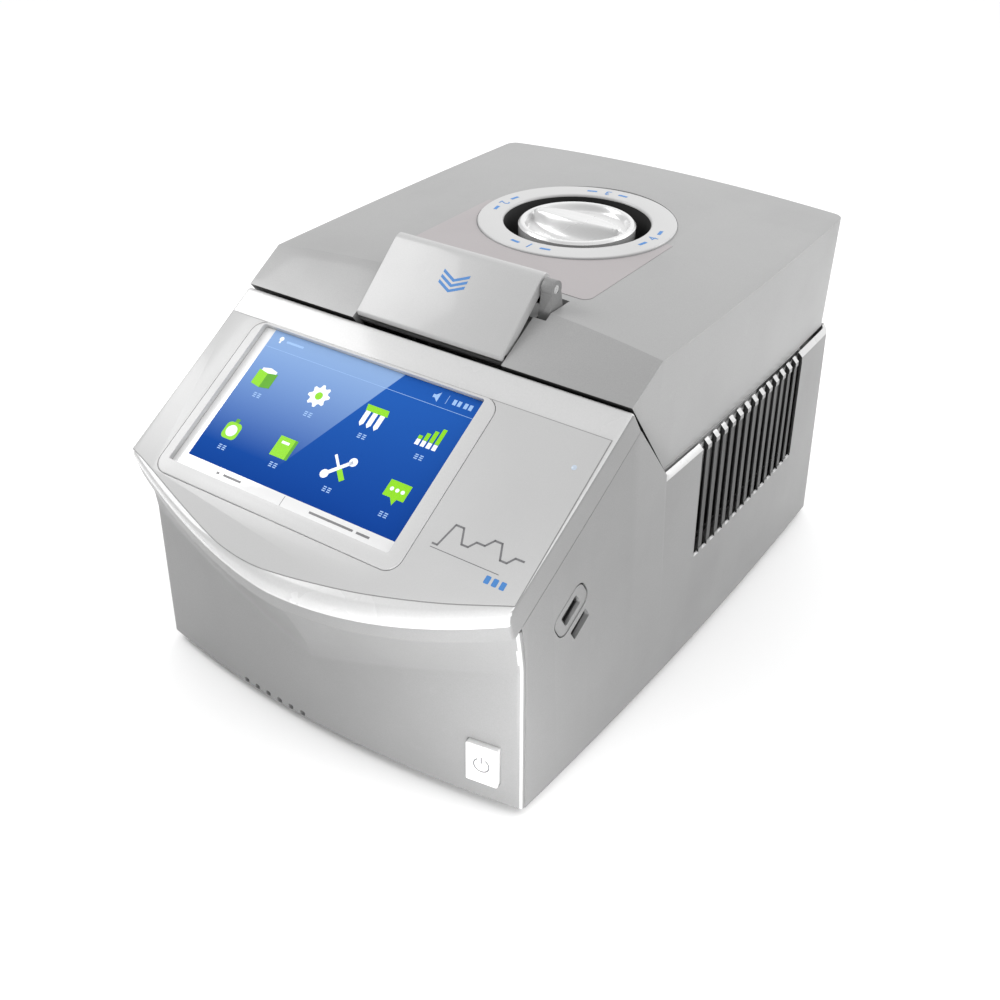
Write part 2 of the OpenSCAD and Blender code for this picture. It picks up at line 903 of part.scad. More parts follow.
module lid_arms() {
    color("gray")
    for (sx = [-1, 1]) {
        difference() {
            union() {
                rod_x(sx * (hinge_x + 4) - 8, sx * (hinge_x + 4) + 8, hinge_y, hinge_z, 7);
                across(sx * (hinge_x + 4) - 8, sx * (hinge_x + 4) + 8, [
                    [182, hinge_z], [196, hinge_z], [197, 190], [197, 216],
                    [92, 216], [92, 204], [176, 204], [178, 190]
                ]);
            }
            rod_x(sx * hinge_x - 30, sx * hinge_x + 30, hinge_y, hinge_z, 4.06);
        }
    }
}

module striker_bar() {
    color("silver")
    for (sx = [-1, 1]) {
        rod_x(sx * 34 - 12, sx * 34 + 12, -21, 142, 2);
        for (e = [-1, 1]) {
            block_of(sx * 34 + e * 10 - 1, sx * 34 + e * 10 + 1, -26, -18, 138, deck_top - 2.6);
        }
    }
}

module housing_screws() {
    color("gray")
    for (sx = [-1, 1]) {
        for (y = [-110, -60, 0, 150]) {
            translate([sx * 120, y, z_pan + 2.5]) cylinder(h = 2, r = 3.4, $fn = 24);
        }
        for (x = [30, 110]) {
            translate([sx * x, 160, deck_top]) cylinder(h = 0.5, r = 3.4, $fn = 24);
        }
    }
}

// ---------- lid ----------

// Solid under the crowned top of the lid; h lowers the surface
module under_crown(h) {
    span = 150;
    steps = 40;
    arc = [
        for (k = [0 : steps])
            let(x = -span + 2 * span * k / steps) [x, sqrt(pow(crown_r, 2) - x * x) - crown_r]
    ];
    translate([0, lid_top_y, lid_top_z + crown_h - h])
        rotate([90 + crown_tilt, 0, 0])
        translate([0, 0, -300])
        linear_extrude(420)
        polygon(concat([[span, -140], [-span, -140]], arc));
}

// Outline of the lid in the Y-Z plane
function lid_profile() =
    let(slant = atan((lid_top_z - seam_z) / (lid_top_y - seam_y)),
        top = lid_top_z + 4,
        top_y = lid_top_y + 4 / tan(slant),
        back_top = back_y(240) + 2)
    [
        [seam_y + 0.3, seam_z + 0.2],
        [top_y + 30, top + 30 * tan(slant)],
        [back_top, top + 30 * tan(slant)],
        [back_y(hinge_z) + 2, hinge_z],
        [back_y(hinge_z), hinge_z],
        [200.8, z_lid + lid_gap],
        [lid_front_y, z_lid + lid_gap]
    ];

module lid_outer() {
    intersection() {
        tapered(z_lid, 240, ledge, 0, -90);
        across(-200, 200, lid_profile());
        under_crown(0);
    }
}

module lid_hollow() {
    slant = atan((lid_top_z - seam_z) / (lid_top_y - seam_y));
    intersection() {
        tapered(z_lid - 1, 240, ledge + wall, wall, -90);
        across(-200, 200, [
            [seam_y + wall / sin(slant), seam_z - 0.2],
            [seam_y + wall / sin(slant) + 60, seam_z - 0.2 + 60 * tan(slant)],
            [back_y(240) - wall, 250],
            [back_y(hinge_z) - wall, hinge_z],
            [197.6, z_lid - 1],
            [lid_front_y - 10, z_lid - 1]
        ]);
        under_crown(wall);
    }
}

flap_open_x = flap_half + 1.2;

module lid_shell() {
    color("silver")
    difference() {
        lid_outer();
        lid_hollow();
        translate([0, blk_y, 200]) cylinder(h = 60, r = well_r + 3.2, $fn = 96);
        translate([0, blk_y, ring_z - 2.6]) cylinder(h = 60, r = 63.6, $fn = 96);
        block_of(-flap_open_x, flap_open_x, -90, -20, 200, 260);
        block_of(0, 60.5, -44, -20, 200, 260);
        for (sx = [-1, 1]) {
            block_of(sx * hinge_x - 20, sx * hinge_x + 20, 180, 220, 150, 180);
        }
    }
}

// Slanted front part and flat bottom of the lid's inner cover
module lid_liner() {
    color("whitesmoke")
    intersection() {
        difference() {
            across(-140, 140, [
                [lid_front_y + 1, z_lid + 2.4], [cheek_y(192) + 0.8, 192], [cheek_y(192) + 3.4, 193],
                [lid_front_y + 3, z_lid + 5], [183, z_lid + 5], [183, z_lid + 2.4]
            ]);
            block_of(-70, 70, blk_y - 54, blk_y + 54, 150, 170);
            for (sx = [-1, 1]) {
                block_of(sx * 34 - 8, sx * 34 + 8, -26, 10, 150, 166);
                block_of(sx * hinge_x - 20, sx * hinge_x + 20, 172, 190, 150, 170);
            }
        }
        tapered(z_lid, 240, ledge + wall + 0.4, wall + 0.4, -90);
    }
}

module lid_bridge() {
    color("darkgray")
    difference() {
        union() {
            block_of(-100, 100, blk_y - 60, blk_y + 60, 201.5, 204);
            for (sx = [-1, 1]) {
                for (sy = [-1, 1]) {
                    translate([sx * 72, blk_y + sy * 52, 204]) cylinder(h = 25.2, r = 4, $fn = 32);
                    translate([sx * 60, blk_y + sy * 44, 196]) cylinder(h = 14, r = 6, $fn = 32);
                }
            }
        }
        translate([0, blk_y, 190]) cylinder(h = 30, r = 14, $fn = 48);
        for (sx = [-1, 1]) {
            for (sy = [-1, 1]) {
                translate([sx * 60, blk_y + sy * 44, 190]) cylinder(h = 30, r = 3.06, $fn = 32);
            }
        }
    }
}

module spindle_bush() {
    color("goldenrod")
    translate([0, blk_y, 0]) rotate_extrude($fn = 48) polygon([
        [5.06, 201], [14, 201], [14, 206.4], [9, 206.4], [9, 210], [5.06, 210]
    ]);
}

module knob_well() {
    color("white")
    translate([0, blk_y, 0]) rotate_extrude($fn = 96) polygon([
        [14, 204], [well_r + 2.8, 204], [well_r + 2.8, ring_z - 2.6], [63.3, ring_z - 2.6],
        [63.3, ring_z - 0.8], [62.5, ring_z], [well_r + 1.2, ring_z], [well_r, ring_z - 1.2],
        [well_r, 206.4], [14, 206.4]
    ]);
}

module lid_film() {
    color("rosybrown")
    intersection() {
        difference() {
            under_crown(-0.25);
            under_crown(0);
        }
        translate([0, 0, 200]) linear_extrude(60) difference() {
            union() {
                translate([0, 40]) square([137, 98], center = true);
                translate([0, -5]) slab_2d(137, 18, 6);
                translate([0, blk_y]) circle(r = 68.5, $fn = 96);
            }
            translate([0, blk_y]) circle(r = 64, $fn = 96);
            translate([-100, blk_y]) square([200, 100]);
        }
    }
}

// Places of the two ears that hold the flap's pin: the left one stands inside the flap
ear_x = [-44, 56];

// Tray behind the flap, with its two ears
module latch_bracket() {
    color("gray")
    difference() {
        union() {
            across(-flap_open_x + 0.3, flap_open_x - 0.3, [
                [-68.5, 209.5], [-42, 225], [-42, 228], [-24.5, 228],
                [-24.5, 225.4], [-39.5, 225.4], [-39.5, 223.4], [-66.5, 207.2]
            ]);
            for (x = ear_x) {
                across(x - 3.6, x + 3.6, [
                    [latch_y - 4.6, latch_z - 2], [-40, 225.4], [-24.5, 225.4], [latch_y + 4.6, latch_z - 2]
                ]);
                rod_x(x - 3.6, x + 3.6, latch_y, latch_z, 5);
            }
        }
        rod_x(-80, 80, latch_y, latch_z, 2.5);
        block_of(-9, 9, -39, -20, 200, 240);
    }
}

module latch_pin() {
    color("silver")
    rod_x(-49.5, 59.4, latch_y, latch_z, 2.5);
}

// Flap that the user pulls; its tail pushes the pawl's upper arm
module latch_flap() {
    face = atan((246.7 - 215.7) / (72.1 - 37.3));
    color("whitesmoke")
    difference() {
        union() {
            across(-flap_half, flap_half, [
                [-72.1, 215.7], [-37.3, 246.7], [-34.5, 249.2], [-31, 250.4], [-27.5, 249],
                [-25.8, 245], [-26.6, 240.6], [-30.5, 237.4], [-36, 238.4], [-65.2, 213.4],
                [-67.8, 215.4], [-69.4, 213.9], [-69.2, 212.9], [-71.4, 212.7]
            ]);
            across(-6, 6, [[-38, 240], [-27, 240], [-24.6, 214], [-27.2, 212], [-31, 214]]);
        }
        rod_x(-49.7, 80, latch_y, latch_z, 2.56);
        rod_x(ear_x[0] - 4, ear_x[0] + 4, latch_y, latch_z, 5.4);
        across(ear_x[0] - 4, ear_x[0] + 4, [
            [latch_y - 9, 230], [latch_y - 5.2, latch_z], [latch_y + 5.4, latch_z], [latch_y + 10, 230]
        ]);
    }
}

// Two hooks on one rocking shaft, worked by the flap's tail
module latch_pawl() {
    color("dimgray")
    difference() {
        union() {
            rod_x(-46, 46, pawl_y, pawl_z, 5);
            across(-6, 6, [[-16, pawl_z], [-8, pawl_z], [-32.2, 210], [-32.2, 216], [-36.2, 216]]);
            for (sx = [-1, 1]) {
                across(sx * 34 - 4, sx * 34 + 4, [
                    [-16, pawl_z], [-8, pawl_z], [-8.5, 150], [-8.5, 136],
                    [-18.4, 136], [-18.4, 138.5], [-13, 140], [-13, 150]
                ]);
            }
        }
        rod_x(-60, 60, pawl_y, pawl_z, 2.56);
    }
}

module pawl_bracket() {
    color("gray")
    union() {
        rod_x(-56, 56, pawl_y, pawl_z, 2.5);
        for (sx = [-1, 1]) {
            difference() {
                across(sx * 52 - 2, sx * 52 + 2, [
                    [-19, z_lid + 5], [-5, z_lid + 5], [-5, pawl_z + 6], [-19, pawl_z + 6]
                ]);
                rod_x(sx * 52 - 5, sx * 52 + 5, pawl_y, pawl_z, 2.5);
            }
        }
    }
}

// ---------- knob and heated plate ----------

module knob() {
    lens_r = 66;
    lens_w = 10;
    color("gainsboro")
    translate([0, blk_y, 0]) {
        rotate_extrude($fn = 96) polygon([
            [12, 210.3], [12, 222], [knob_r - 2.8, 222], [knob_r - 2.8, 211], [knob_r, 211], [knob_r, 232],
            [knob_r - 1.4, 234], [knob_r - 3, 234], [knob_r - 5, 232], [22, 227], [0, 225.6], [0, 210.3]
        ]);
        translate([0, 0, 223]) linear_extrude(14.5) intersection() {
            translate([0, lens_r - lens_w]) circle(r = lens_r, $fn = 96);
            translate([0, -lens_r + lens_w]) circle(r = lens_r, $fn = 96);
            circle(r = knob_r - 2, $fn = 96);
        }
    }
}

module knob_spindle() {
    color("silver")
    translate([0, blk_y, 188]) cylinder(h = 22.3, r = 5, $fn = 48);
}

module plate_carrier() {
    color("dimgray")
    difference() {
        union() {
            block_of(-66, 66, blk_y - 50, blk_y + 50, 176, 179);
            translate([0, blk_y, 179]) cylinder(h = 21.4, r = 11, $fn = 48);
            for (a = [45 : 90 : 315]) {
                translate([0, blk_y, 179]) rotate([0, 0, a]) block_of(9, 40, -1.5, 1.5, -0.5, 9);
            }
        }
        translate([0, blk_y, 170]) cylinder(h = 60, r = 5.06, $fn = 48);
    }
    color("dimgray")
    difference() {
        block_of(-66, 66, blk_y - 50, blk_y + 50, 163, 176);
        block_of(-62.5, 62.5, blk_y - 46.5, blk_y + 46.5, 150, 180);
    }
}

module plate_insulation() {
    color("khaki")
    block_of(-62, 62, blk_y - 46, blk_y + 46, 168, 176);
}

module heated_plate() {
    color("silver")
    difference() {
        block_of(-60.5, 60.5, blk_y - 44.5, blk_y + 44.5, 162, 168);
        at_wells(161) cylinder(h = 1.4, r = 3.2, $fn = 24);
    }
}

module guide_rods() {
    color("silver")
    for (sx = [-1, 1]) {
        for (sy = [-1, 1]) {
            translate([sx * 60, blk_y + sy * 44, 179]) cylinder(h = 29 + plate_travel, r = 3, $fn = 32);
        }
    }
}

// ---------- assembly ----------

base_pan();
rubber_feet();
main_housing();
front_cover();
control_panel();
panel_film();
display_bezel();
touch_glass();
lcd_module();
main_board();
console_wall();
grille_baffles();
usb_bezel();
usb_ports();
block_deck();
block_gasket();
sample_block();
peltier_modules();
block_frame();
heat_sink();
sink_posts();
fan_shroud();
fan_frames();
power_supply();
driver_board();
board_parts();
rear_plate();
power_inlet();
switch_housing();
hinge_shelf();
hinge_brackets();
hinge_pins();
hinge_springs();
striker_bar();
button_guide();
button_spring();
housing_screws();
lid_shell();
lid_liner();
lid_arms();
lid_bridge();
knob_well();
spindle_bush();
lid_film();
latch_bracket();
latch_pin();
pawl_bracket();
latch_flap();
latch_pawl();
knob();
knob_spindle();
heated_plate();
plate_insulation();
plate_carrier();
guide_rods();
power_button();
rocker();
fuse_drawer();
fan_rotor_left();
fan_rotor_right();
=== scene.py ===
import json
import math

import bmesh
import bpy
from mathutils import Matrix, Vector


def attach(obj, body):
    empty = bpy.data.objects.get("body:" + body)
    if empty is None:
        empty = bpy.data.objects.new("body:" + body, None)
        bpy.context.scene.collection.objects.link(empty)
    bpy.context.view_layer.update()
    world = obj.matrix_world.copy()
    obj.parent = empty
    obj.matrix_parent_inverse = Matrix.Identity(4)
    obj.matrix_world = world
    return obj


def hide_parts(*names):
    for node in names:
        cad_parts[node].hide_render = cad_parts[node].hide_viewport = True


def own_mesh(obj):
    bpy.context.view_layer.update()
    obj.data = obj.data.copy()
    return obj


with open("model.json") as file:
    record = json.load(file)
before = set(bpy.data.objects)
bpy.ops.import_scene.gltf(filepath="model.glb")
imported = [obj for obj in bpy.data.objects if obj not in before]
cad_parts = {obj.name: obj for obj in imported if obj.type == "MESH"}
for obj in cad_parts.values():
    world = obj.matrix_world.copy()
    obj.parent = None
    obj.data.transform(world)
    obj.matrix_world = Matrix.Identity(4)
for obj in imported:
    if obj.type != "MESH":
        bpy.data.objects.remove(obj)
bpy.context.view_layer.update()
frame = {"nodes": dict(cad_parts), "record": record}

MM = 0.001
scene = bpy.context.scene
scene.view_settings.view_transform = "Standard"

# ---------------------------------------------------------------- materials


def rgb(value):
    """An sRGB value from 0 to 255, or a triple of them, as linear RGBA."""
    triple = value if isinstance(value, (tuple, list)) else (value, value, value)
    lin = [(c / 255 / 12.92) if c <= 10 else ((c / 255 + 0.055) / 1.055) ** 2.4 for c in triple]
    return (*lin, 1.0)


def node(tree, kind, **values):
    n = tree.nodes.new(kind)
    for key, value in values.items():
        if key in n.inputs:
            n.inputs[key].default_value = value
        else:
            setattr(n, key, value)
    return n


def noise(tree, coords, scale, detail=3.0, rough=0.5):
    n = node(tree, "ShaderNodeTexNoise", Scale=scale, Detail=detail, Roughness=rough)
    tree.links.new(coords, n.inputs["Vector"])
    return n.outputs["Fac"]


def ramp(tree, fac, a, b, lo, hi):
    """Maps fac from a..b to lo..hi, held at the ends."""
    n = node(tree, "ShaderNodeMapRange", clamp=True)
    n.inputs["From Min"].default_value = a
    n.inputs["From Max"].default_value = b
    n.inputs["To Min"].default_value = lo
    n.inputs["To Max"].default_value = hi
    tree.links.new(fac, n.inputs["Value"])
    return n.outputs["Result"]


def mix(tree, fac, a, b):
    n = node(tree, "ShaderNodeMix", data_type="RGBA")
    tree.links.new(fac, n.inputs["Factor"])
    for socket, value in ((n.inputs["A"], a), (n.inputs["B"], b)):
        if isinstance(value, tuple):
            socket.default_value = value
        else:
            tree.links.new(value, socket)
    return n.outputs["Result"]


def material(name, color, rough, metal=0.0, coat=0.0, specks=0.04, grain=1600.0, bump=0.06,
             brushed=0.0, cloud=0.03, wear=0.0, ior=1.5, build=None):
    """A shader with fine grain, faint clouding and small marks, sized for an object 0.4 m long.

    color is sRGB 0 to 255. specks is how strongly the fine grain tints the colour, grain its
    scale per metre, brushed how much the grain is drawn out along X, and wear how many rubbed
    spots there are. build is a function that makes the colour in place of grain and clouding.
    """
    mat = bpy.data.materials.new(name)
    mat.use_nodes = True
    tree = mat.node_tree
    shader = tree.nodes["Principled BSDF"]
    shader.inputs["Metallic"].default_value = metal
    shader.inputs["Coat Weight"].default_value = coat
    shader.inputs["Coat Roughness"].default_value = 0.08
    shader.inputs["IOR"].default_value = ior
    where = node(tree, "ShaderNodeTexCoord").outputs["Object"]
    if brushed:
        stretch = node(tree, "ShaderNodeMapping")
        stretch.inputs["Scale"].default_value = (1.0 - brushed, 1.0, 1.0)
        tree.links.new(where, stretch.inputs["Vector"])
        fine_at = stretch.outputs["Vector"]
    else:
        fine_at = where
    fine = noise(tree, fine_at, grain, 2.0)
    large = noise(tree, where, 14.0, 4.0)
    base = rgb(color)
    dark = tuple(c * (1 - specks * 2) for c in base[:3]) + (1.0,)
    light = tuple(min(1.0, c * (1 + specks)) for c in base[:3]) + (1.0,)
    soil = tuple(c * (1 - cloud * 3) for c in base[:3]) + (1.0,)
    if build:
        tint = build(tree, where)
    else:
        tint = mix(tree, ramp(tree, fine, 0.3, 0.7, 0.0, 1.0), dark, light)
        tint = mix(tree, ramp(tree, large, 0.52, 0.78, 0.0, 0.6), tint, soil)
    roughness = ramp(tree, large, 0.3, 0.7, max(0.02, rough - 0.05), rough + 0.05)
    if wear:
        rubbed = ramp(tree, noise(tree, where, 55.0, 6.0, 0.7), 0.62, 0.7, 0.0, wear)
        rubbed_color = tuple(min(1.0, c * 1.25 + 0.02) for c in base[:3]) + (1.0,)
        tint = mix(tree, rubbed, tint, rubbed_color)
    tree.links.new(tint, shader.inputs["Base Color"])
    tree.links.new(roughness, shader.inputs["Roughness"])
    bumps = node(tree, "ShaderNodeBump", Strength=bump, Distance=0.00012)
    tree.links.new(fine, bumps.inputs["Height"])
    tree.links.new(bumps.outputs["Normal"], shader.inputs["Normal"])
    return mat


def screen_paint(tree, where):
    """Blue wallpaper, brighter towards the top, with a painted reflection, a pale sheen, over its upper left
    corner.

    It goes by X and Y of the whole machine, in metres.
    """
    split = node(tree, "ShaderNodeSeparateXYZ")
    tree.links.new(where, split.inputs["Vector"])
    across, along = split.outputs["X"], split.outputs["Y"]
    rightwards = ramp(tree, across, -0.10, 0.055, 0.0, 1.0)
    low = mix(tree, rightwards, rgb((12, 54, 132)), rgb((14, 54, 134)))
    mid = mix(tree, rightwards, rgb((38, 92, 174)), rgb((34, 84, 164)))
    blue = mix(tree, ramp(tree, along, -0.185, -0.105, 0.0, 1.0), low, mid)
    # Painted reflection: the pale sheen is mixed into the wallpaper's colour
    # The sheen's edge runs from the top, at mid width, down to the left
    edge = node(tree, "ShaderNodeMath", operation="MULTIPLY_ADD")
    tree.links.new(along, edge.inputs[0])
    edge.inputs[1].default_value = -0.575
    tree.links.new(across, edge.inputs[2])
    side = ramp(tree, edge.outputs["Value"], 0.0522, 0.0527, 1.0, 0.0)
    fade = ramp(tree, along, -0.158, -0.092, 0.0, 1.0)
    sheen = node(tree, "ShaderNodeMath", operation="MULTIPLY")
    tree.links.new(side, sheen.inputs[0])
    tree.links.new(fade, sheen.inputs[1])
    return mix(tree, sheen.outputs["Value"], blue, rgb((138, 168, 210)))


MATERIALS = {
    "housing_silver": material("satin_silver_housing", 130, 0.42, metal=0.15, coat=0.2, specks=0.03,
                               wear=0.1),
    "lid_silver": material("satin_silver_lid", 150, 0.44, metal=0.1, coat=0.2, specks=0.03, wear=0.1),
    "panel_white": material("glossy_white_rim", 195, 0.26, coat=0.5, specks=0.015, grain=900.0, bump=0.02),
    "film_silver": material("printed_silver_film", 181, 0.36, coat=0.1, specks=0.02, grain=2600.0, bump=0.05),
    "bezel_white": material("satin_white_moulding", 192, 0.34, specks=0.015, grain=1200.0),
    "screen_glass": material("screen_glass", 238, 0.1, coat=0.6, specks=0.0, bump=0.0, cloud=0.0),
    "grey_plastic": material("grey_moulding", 128, 0.5, specks=0.05, wear=0.2),
    "black_plastic": material("black_moulding", 22, 0.45, specks=0.2, wear=0.15),
    "flap_white": material("satin_flap", 178, 0.36, coat=0.25, specks=0.02, wear=0.1),
    "knob_silver": material("pearl_knob", 212, 0.26, metal=0.3, coat=0.8, specks=0.015, bump=0.02),
    "ring_white": material("white_ring", 184, 0.32, coat=0.2, specks=0.015),
    "film_mauve": material("thin_lid_film", (155, 150, 151), 0.34, specks=0.02, grain=2600.0),
    "block_alu": material("anodised_aluminium", 205, 0.32, metal=1.0, specks=0.06, brushed=0.93),
    "sink_alu": material("extruded_aluminium", 180, 0.38, metal=1.0, specks=0.08, brushed=0.95),
    "steel": material("zinc_plated_steel", 176, 0.36, metal=1.0, specks=0.08, cloud=0.08, wear=0.2),
    "pin_steel": material("ground_steel", 205, 0.22, metal=1.0, specks=0.05, brushed=0.9),
    "rubber_black": material("black_rubber", 26, 0.75, specks=0.2, grain=700.0, bump=0.3),
    "silicone_orange": material("silicone_seal", (196, 104, 50), 0.55, specks=0.05),
    "peltier_white": material("ceramic_face", 232, 0.5, specks=0.03),
    "insulation": material("glass_fibre_pad", (214, 204, 172), 0.9, specks=0.12, grain=900.0, bump=0.5),
    "board_green": material("glass_epoxy_board", (18, 92, 52), 0.35, specks=0.15, grain=900.0),
    "parts_dark": material("board_components", (40, 42, 60), 0.4, specks=0.1),
    "psu_zinc": material("zinc_coated_case", 188, 0.34, metal=1.0, specks=0.1, cloud=0.1, wear=0.2),
    "bush_bronze": material("sintered_bronze", (190, 146, 82), 0.42, metal=1.0, specks=0.15, grain=2200.0),
    "rocker_red": material("red_rocker", (150, 24, 22), 0.3, coat=0.3, specks=0.03),
    "button_white": material("glossy_key", 226, 0.24, coat=0.5, specks=0.015, bump=0.02),
}
mat_screen = material("lit_wallpaper", (30, 80, 170), 0.4, specks=0.0, bump=0.0, ior=1.02, build=screen_paint)
mat_green = material("lit_green_icons", (134, 206, 22), 0.3, ior=1.2, specks=0.05, bump=0.0)
mat_green_dark = material("lit_dark_green_icons", (84, 158, 18), 0.3, ior=1.2, specks=0.05, bump=0.0)
mat_icon_white = material("lit_white_icons", (238, 242, 248), 0.3, ior=1.2, specks=0.02, bump=0.0)
mat_pale_blue = material("lit_pale_blue", (150, 184, 228), 0.3, ior=1.2, specks=0.02, bump=0.0)
mat_lamp = material("pale_lamp", (182, 194, 208), 0.3, specks=0.02)
mat_ink_blue = material("blue_ink", (46, 118, 186), 0.4, specks=0.05)
mat_ink_grey = material("grey_ink", (104, 104, 106), 0.4, specks=0.05)
# Near black, painted as shade on walls inside the slots, the seams and the knob's well
mat_painted_shade = material("painted_shade_wall", 30, 0.6, specks=0.1)
# Dark silver, painted as shade on the grille's fins
mat_fin_shade = material("painted_shade_silver", 64, 0.5, specks=0.06)
# Light grey, painted as a highlight along rounded edges
mat_edge_highlight = material("painted_edge_highlight", 184, 0.3, coat=0.3, specks=0.02)
# Grey, painted as a shadow line round the film's edge
mat_film_edge_shadow = material("film_edge_painted_shadow", 138, 0.45, specks=0.03)


def glow(mat, strength):
    """Lets a display material shine by its own colour."""
    tree = mat.node_tree
    shader = tree.nodes["Principled BSDF"]
    source = shader.inputs["Base Color"].links[0].from_socket
    tree.links.new(source, shader.inputs["Emission Color"])
    shader.inputs["Emission Strength"].default_value = strength


for shining in (mat_screen, mat_green, mat_green_dark, mat_icon_white, mat_pale_blue):
    glow(shining, 0.1)

# ---------------------------------------------------------------- mesh helpers


def mesh_object(name, verts, faces):
    """An object from points in millimetres, with its faces turned outwards."""
    mesh = bpy.data.meshes.new(name)
    mesh.from_pydata([tuple(v) for v in verts], [], faces)
    obj = bpy.data.objects.new(name, mesh)
    scene.collection.objects.link(obj)
    bm = bmesh.new()
    bm.from_mesh(mesh)
    bmesh.ops.remove_doubles(bm, verts=bm.verts, dist=1e-4)
    bmesh.ops.recalc_face_normals(bm, faces=bm.faces)
    bm.to_mesh(mesh)
    bm.free()
    return obj


def bake(obj):
    """Applies the modifiers."""
    graph = bpy.context.evaluated_depsgraph_get()
    mesh = bpy.data.meshes.new_from_object(obj.evaluated_get(graph))
    old = obj.data
    obj.modifiers.clear()
    obj.data = mesh
    bpy.data.meshes.remove(old)
    return obj


def combine(obj, others, operation):
    for other in others:
        m = obj.modifiers.new("b", "BOOLEAN")
        m.operation = operation
        m.solver = "EXACT"
        m.object = other
        bake(obj)
        bpy.data.objects.remove(other)
    return obj


def cut(obj, *others):
    return combine(obj, others, "DIFFERENCE")


def keep(obj, *others):
    return combine(obj, others, "INTERSECT")


def join(obj, *others):
    return combine(obj, others, "UNION")


def clean(obj):
    """Merges the flat triangles that a cut leaves."""
    bm = bmesh.new()
    bm.from_mesh(obj.data)
    bmesh.ops.remove_doubles(bm, verts=bm.verts, dist=0.002)
    bmesh.ops.dissolve_degenerate(bm, edges=bm.edges, dist=0.002)
    bmesh.ops.dissolve_limit(bm, angle_limit=math.radians(0.02), verts=bm.verts, edges=bm.edges)
    bm.to_mesh(obj.data)
    bm.free()
    return obj


def bevel(obj, width, segments=3, angle=30.0):
    m = obj.modifiers.new("r", "BEVEL")
    m.width = width
    m.segments = segments
    m.limit_method = "ANGLE"
    m.angle_limit = math.radians(angle)
    m.use_clamp_overlap = True
    m.miter_outer = "MITER_ARC"
    return bake(obj)


def loft(name, rings):
    """Solid through closed rings of equal length."""
    count = len(rings[0])
    verts = [p for ring in rings for p in ring]
    faces = []
    for k in range(len(rings) - 1):
        for i in range(count):
            j = (i + 1) % count
            faces.append((k * count + i, k * count + j, (k + 1) * count + j, (k + 1) * count + i))
    faces.append(tuple(range(count - 1, -1, -1)))
    last = (len(rings) - 1) * count
    faces.append(tuple(last + i for i in range(count)))
    return mesh_object(name, verts, faces)


def prism(name, ring, w0, w1):
    """A flat outline of (x, y) points, drawn out along Z."""
    return loft(name, [[(x, y, w) for x, y in ring] for w in (w0, w1)])


def across(name, x0, x1, profile):
    """A profile of (y, z) points, drawn out along X."""
    return loft(name, [[(x0, y, z) for y, z in profile], [(x1, y, z) for y, z in profile]])


def box_mm(name, lo, hi):
    (x0, y0, z0), (x1, y1, z1) = lo, hi
    ring = [(x0, y0), (x1, y0), (x1, y1), (x0, y1)]
    return prism(name, ring, z0, z1)


def arc(cx, cy, r, a0, a1, steps):
    """Points of an arc from a0 to a1 degrees, both ends included."""
    angles = [math.radians(a0 + (a1 - a0) * k / steps) for k in range(steps + 1)]
    return [(cx + r * math.cos(a), cy + r * math.sin(a)) for a in angles]


def slab_ring(cx, cy, w, h, r, steps=8):
    """Rounded rectangle, counterclockwise."""
    pts = []
    for sx, sy, a0 in ((1, 1, 0), (-1, 1, 90), (-1, -1, 180), (1, -1, 270)):
        pts += arc(cx + sx * (w / 2 - r), cy + sy * (h / 2 - r), r, a0, a0 + 90, steps)
    return pts


def rod(name, x0, x1, y, z, r):
    return across(name, x0, x1, arc(y, z, r, 0, 360, 40)[:-1])


def lathe(name, profile, cx, cy, steps=128):
    """Solid of revolution of a closed profile of (radius, z) points."""
    count = len(profile)
    verts, faces = [], []
    for k in range(steps):
        a = 2 * math.pi * k / steps
        verts += [(cx + r * math.cos(a), cy + r * math.sin(a), z) for r, z in profile]
    for k in range(steps):
        for i in range(count):
            j = (i + 1) % count
            n = (k + 1) % steps
            faces.append((k * count + i, k * count + j, n * count + j, n * count + i))
    return mesh_object(name, verts, faces)


def smoothstep(t):
    t = min(max(t, 0.0), 1.0)
    return t * t * (3 - 2 * t)


def rounding(w, r):
    """How far an edge of radius r stands back at the distance w from its start."""
    return r - math.sqrt(max(r * r - (r - w) ** 2, 0)) if w < r else 0.0


def place(obj, matrix):
    obj.data.transform(matrix)
    return obj


def merge(name, objs):
    """One object from several that do not touch."""
    bm = bmesh.new()
    for o in objs:
        bm.from_mesh(o.data)
        bpy.data.objects.remove(o)
    mesh = bpy.data.meshes.new(name)
    bm.to_mesh(mesh)
    bm.free()
    obj = bpy.data.objects.new(name, mesh)
    scene.collection.objects.link(obj)
    return obj


def finish_piece(obj, body, slot, mat=None, stands_for=(), smooth=32.0):
    """Scales the piece to metres, shades it, and puts it on its body."""
    obj.data.transform(Matrix.Scale(MM, 4))
    obj.data.shade_smooth()
    obj.data.set_sharp_from_angle(angle=math.radians(smooth))
    obj.data.materials.clear()
    obj.data.materials.append(mat or MATERIALS[slot])
    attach(obj, body)
    if stands_for:
        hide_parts(*stands_for)
    return obj


def paint_faces(obj, mat, wanted):
    """Gives a second material to the faces for which wanted(centre in mm, normal) holds."""
    obj.data.materials.append(mat)
    last = len(obj.data.materials) - 1
    for face in obj.data.polygons:
        if wanted(face.center / MM, face.normal):
            face.material_index = last


# ---------------------------------------------------------------- shape of the housing, mm

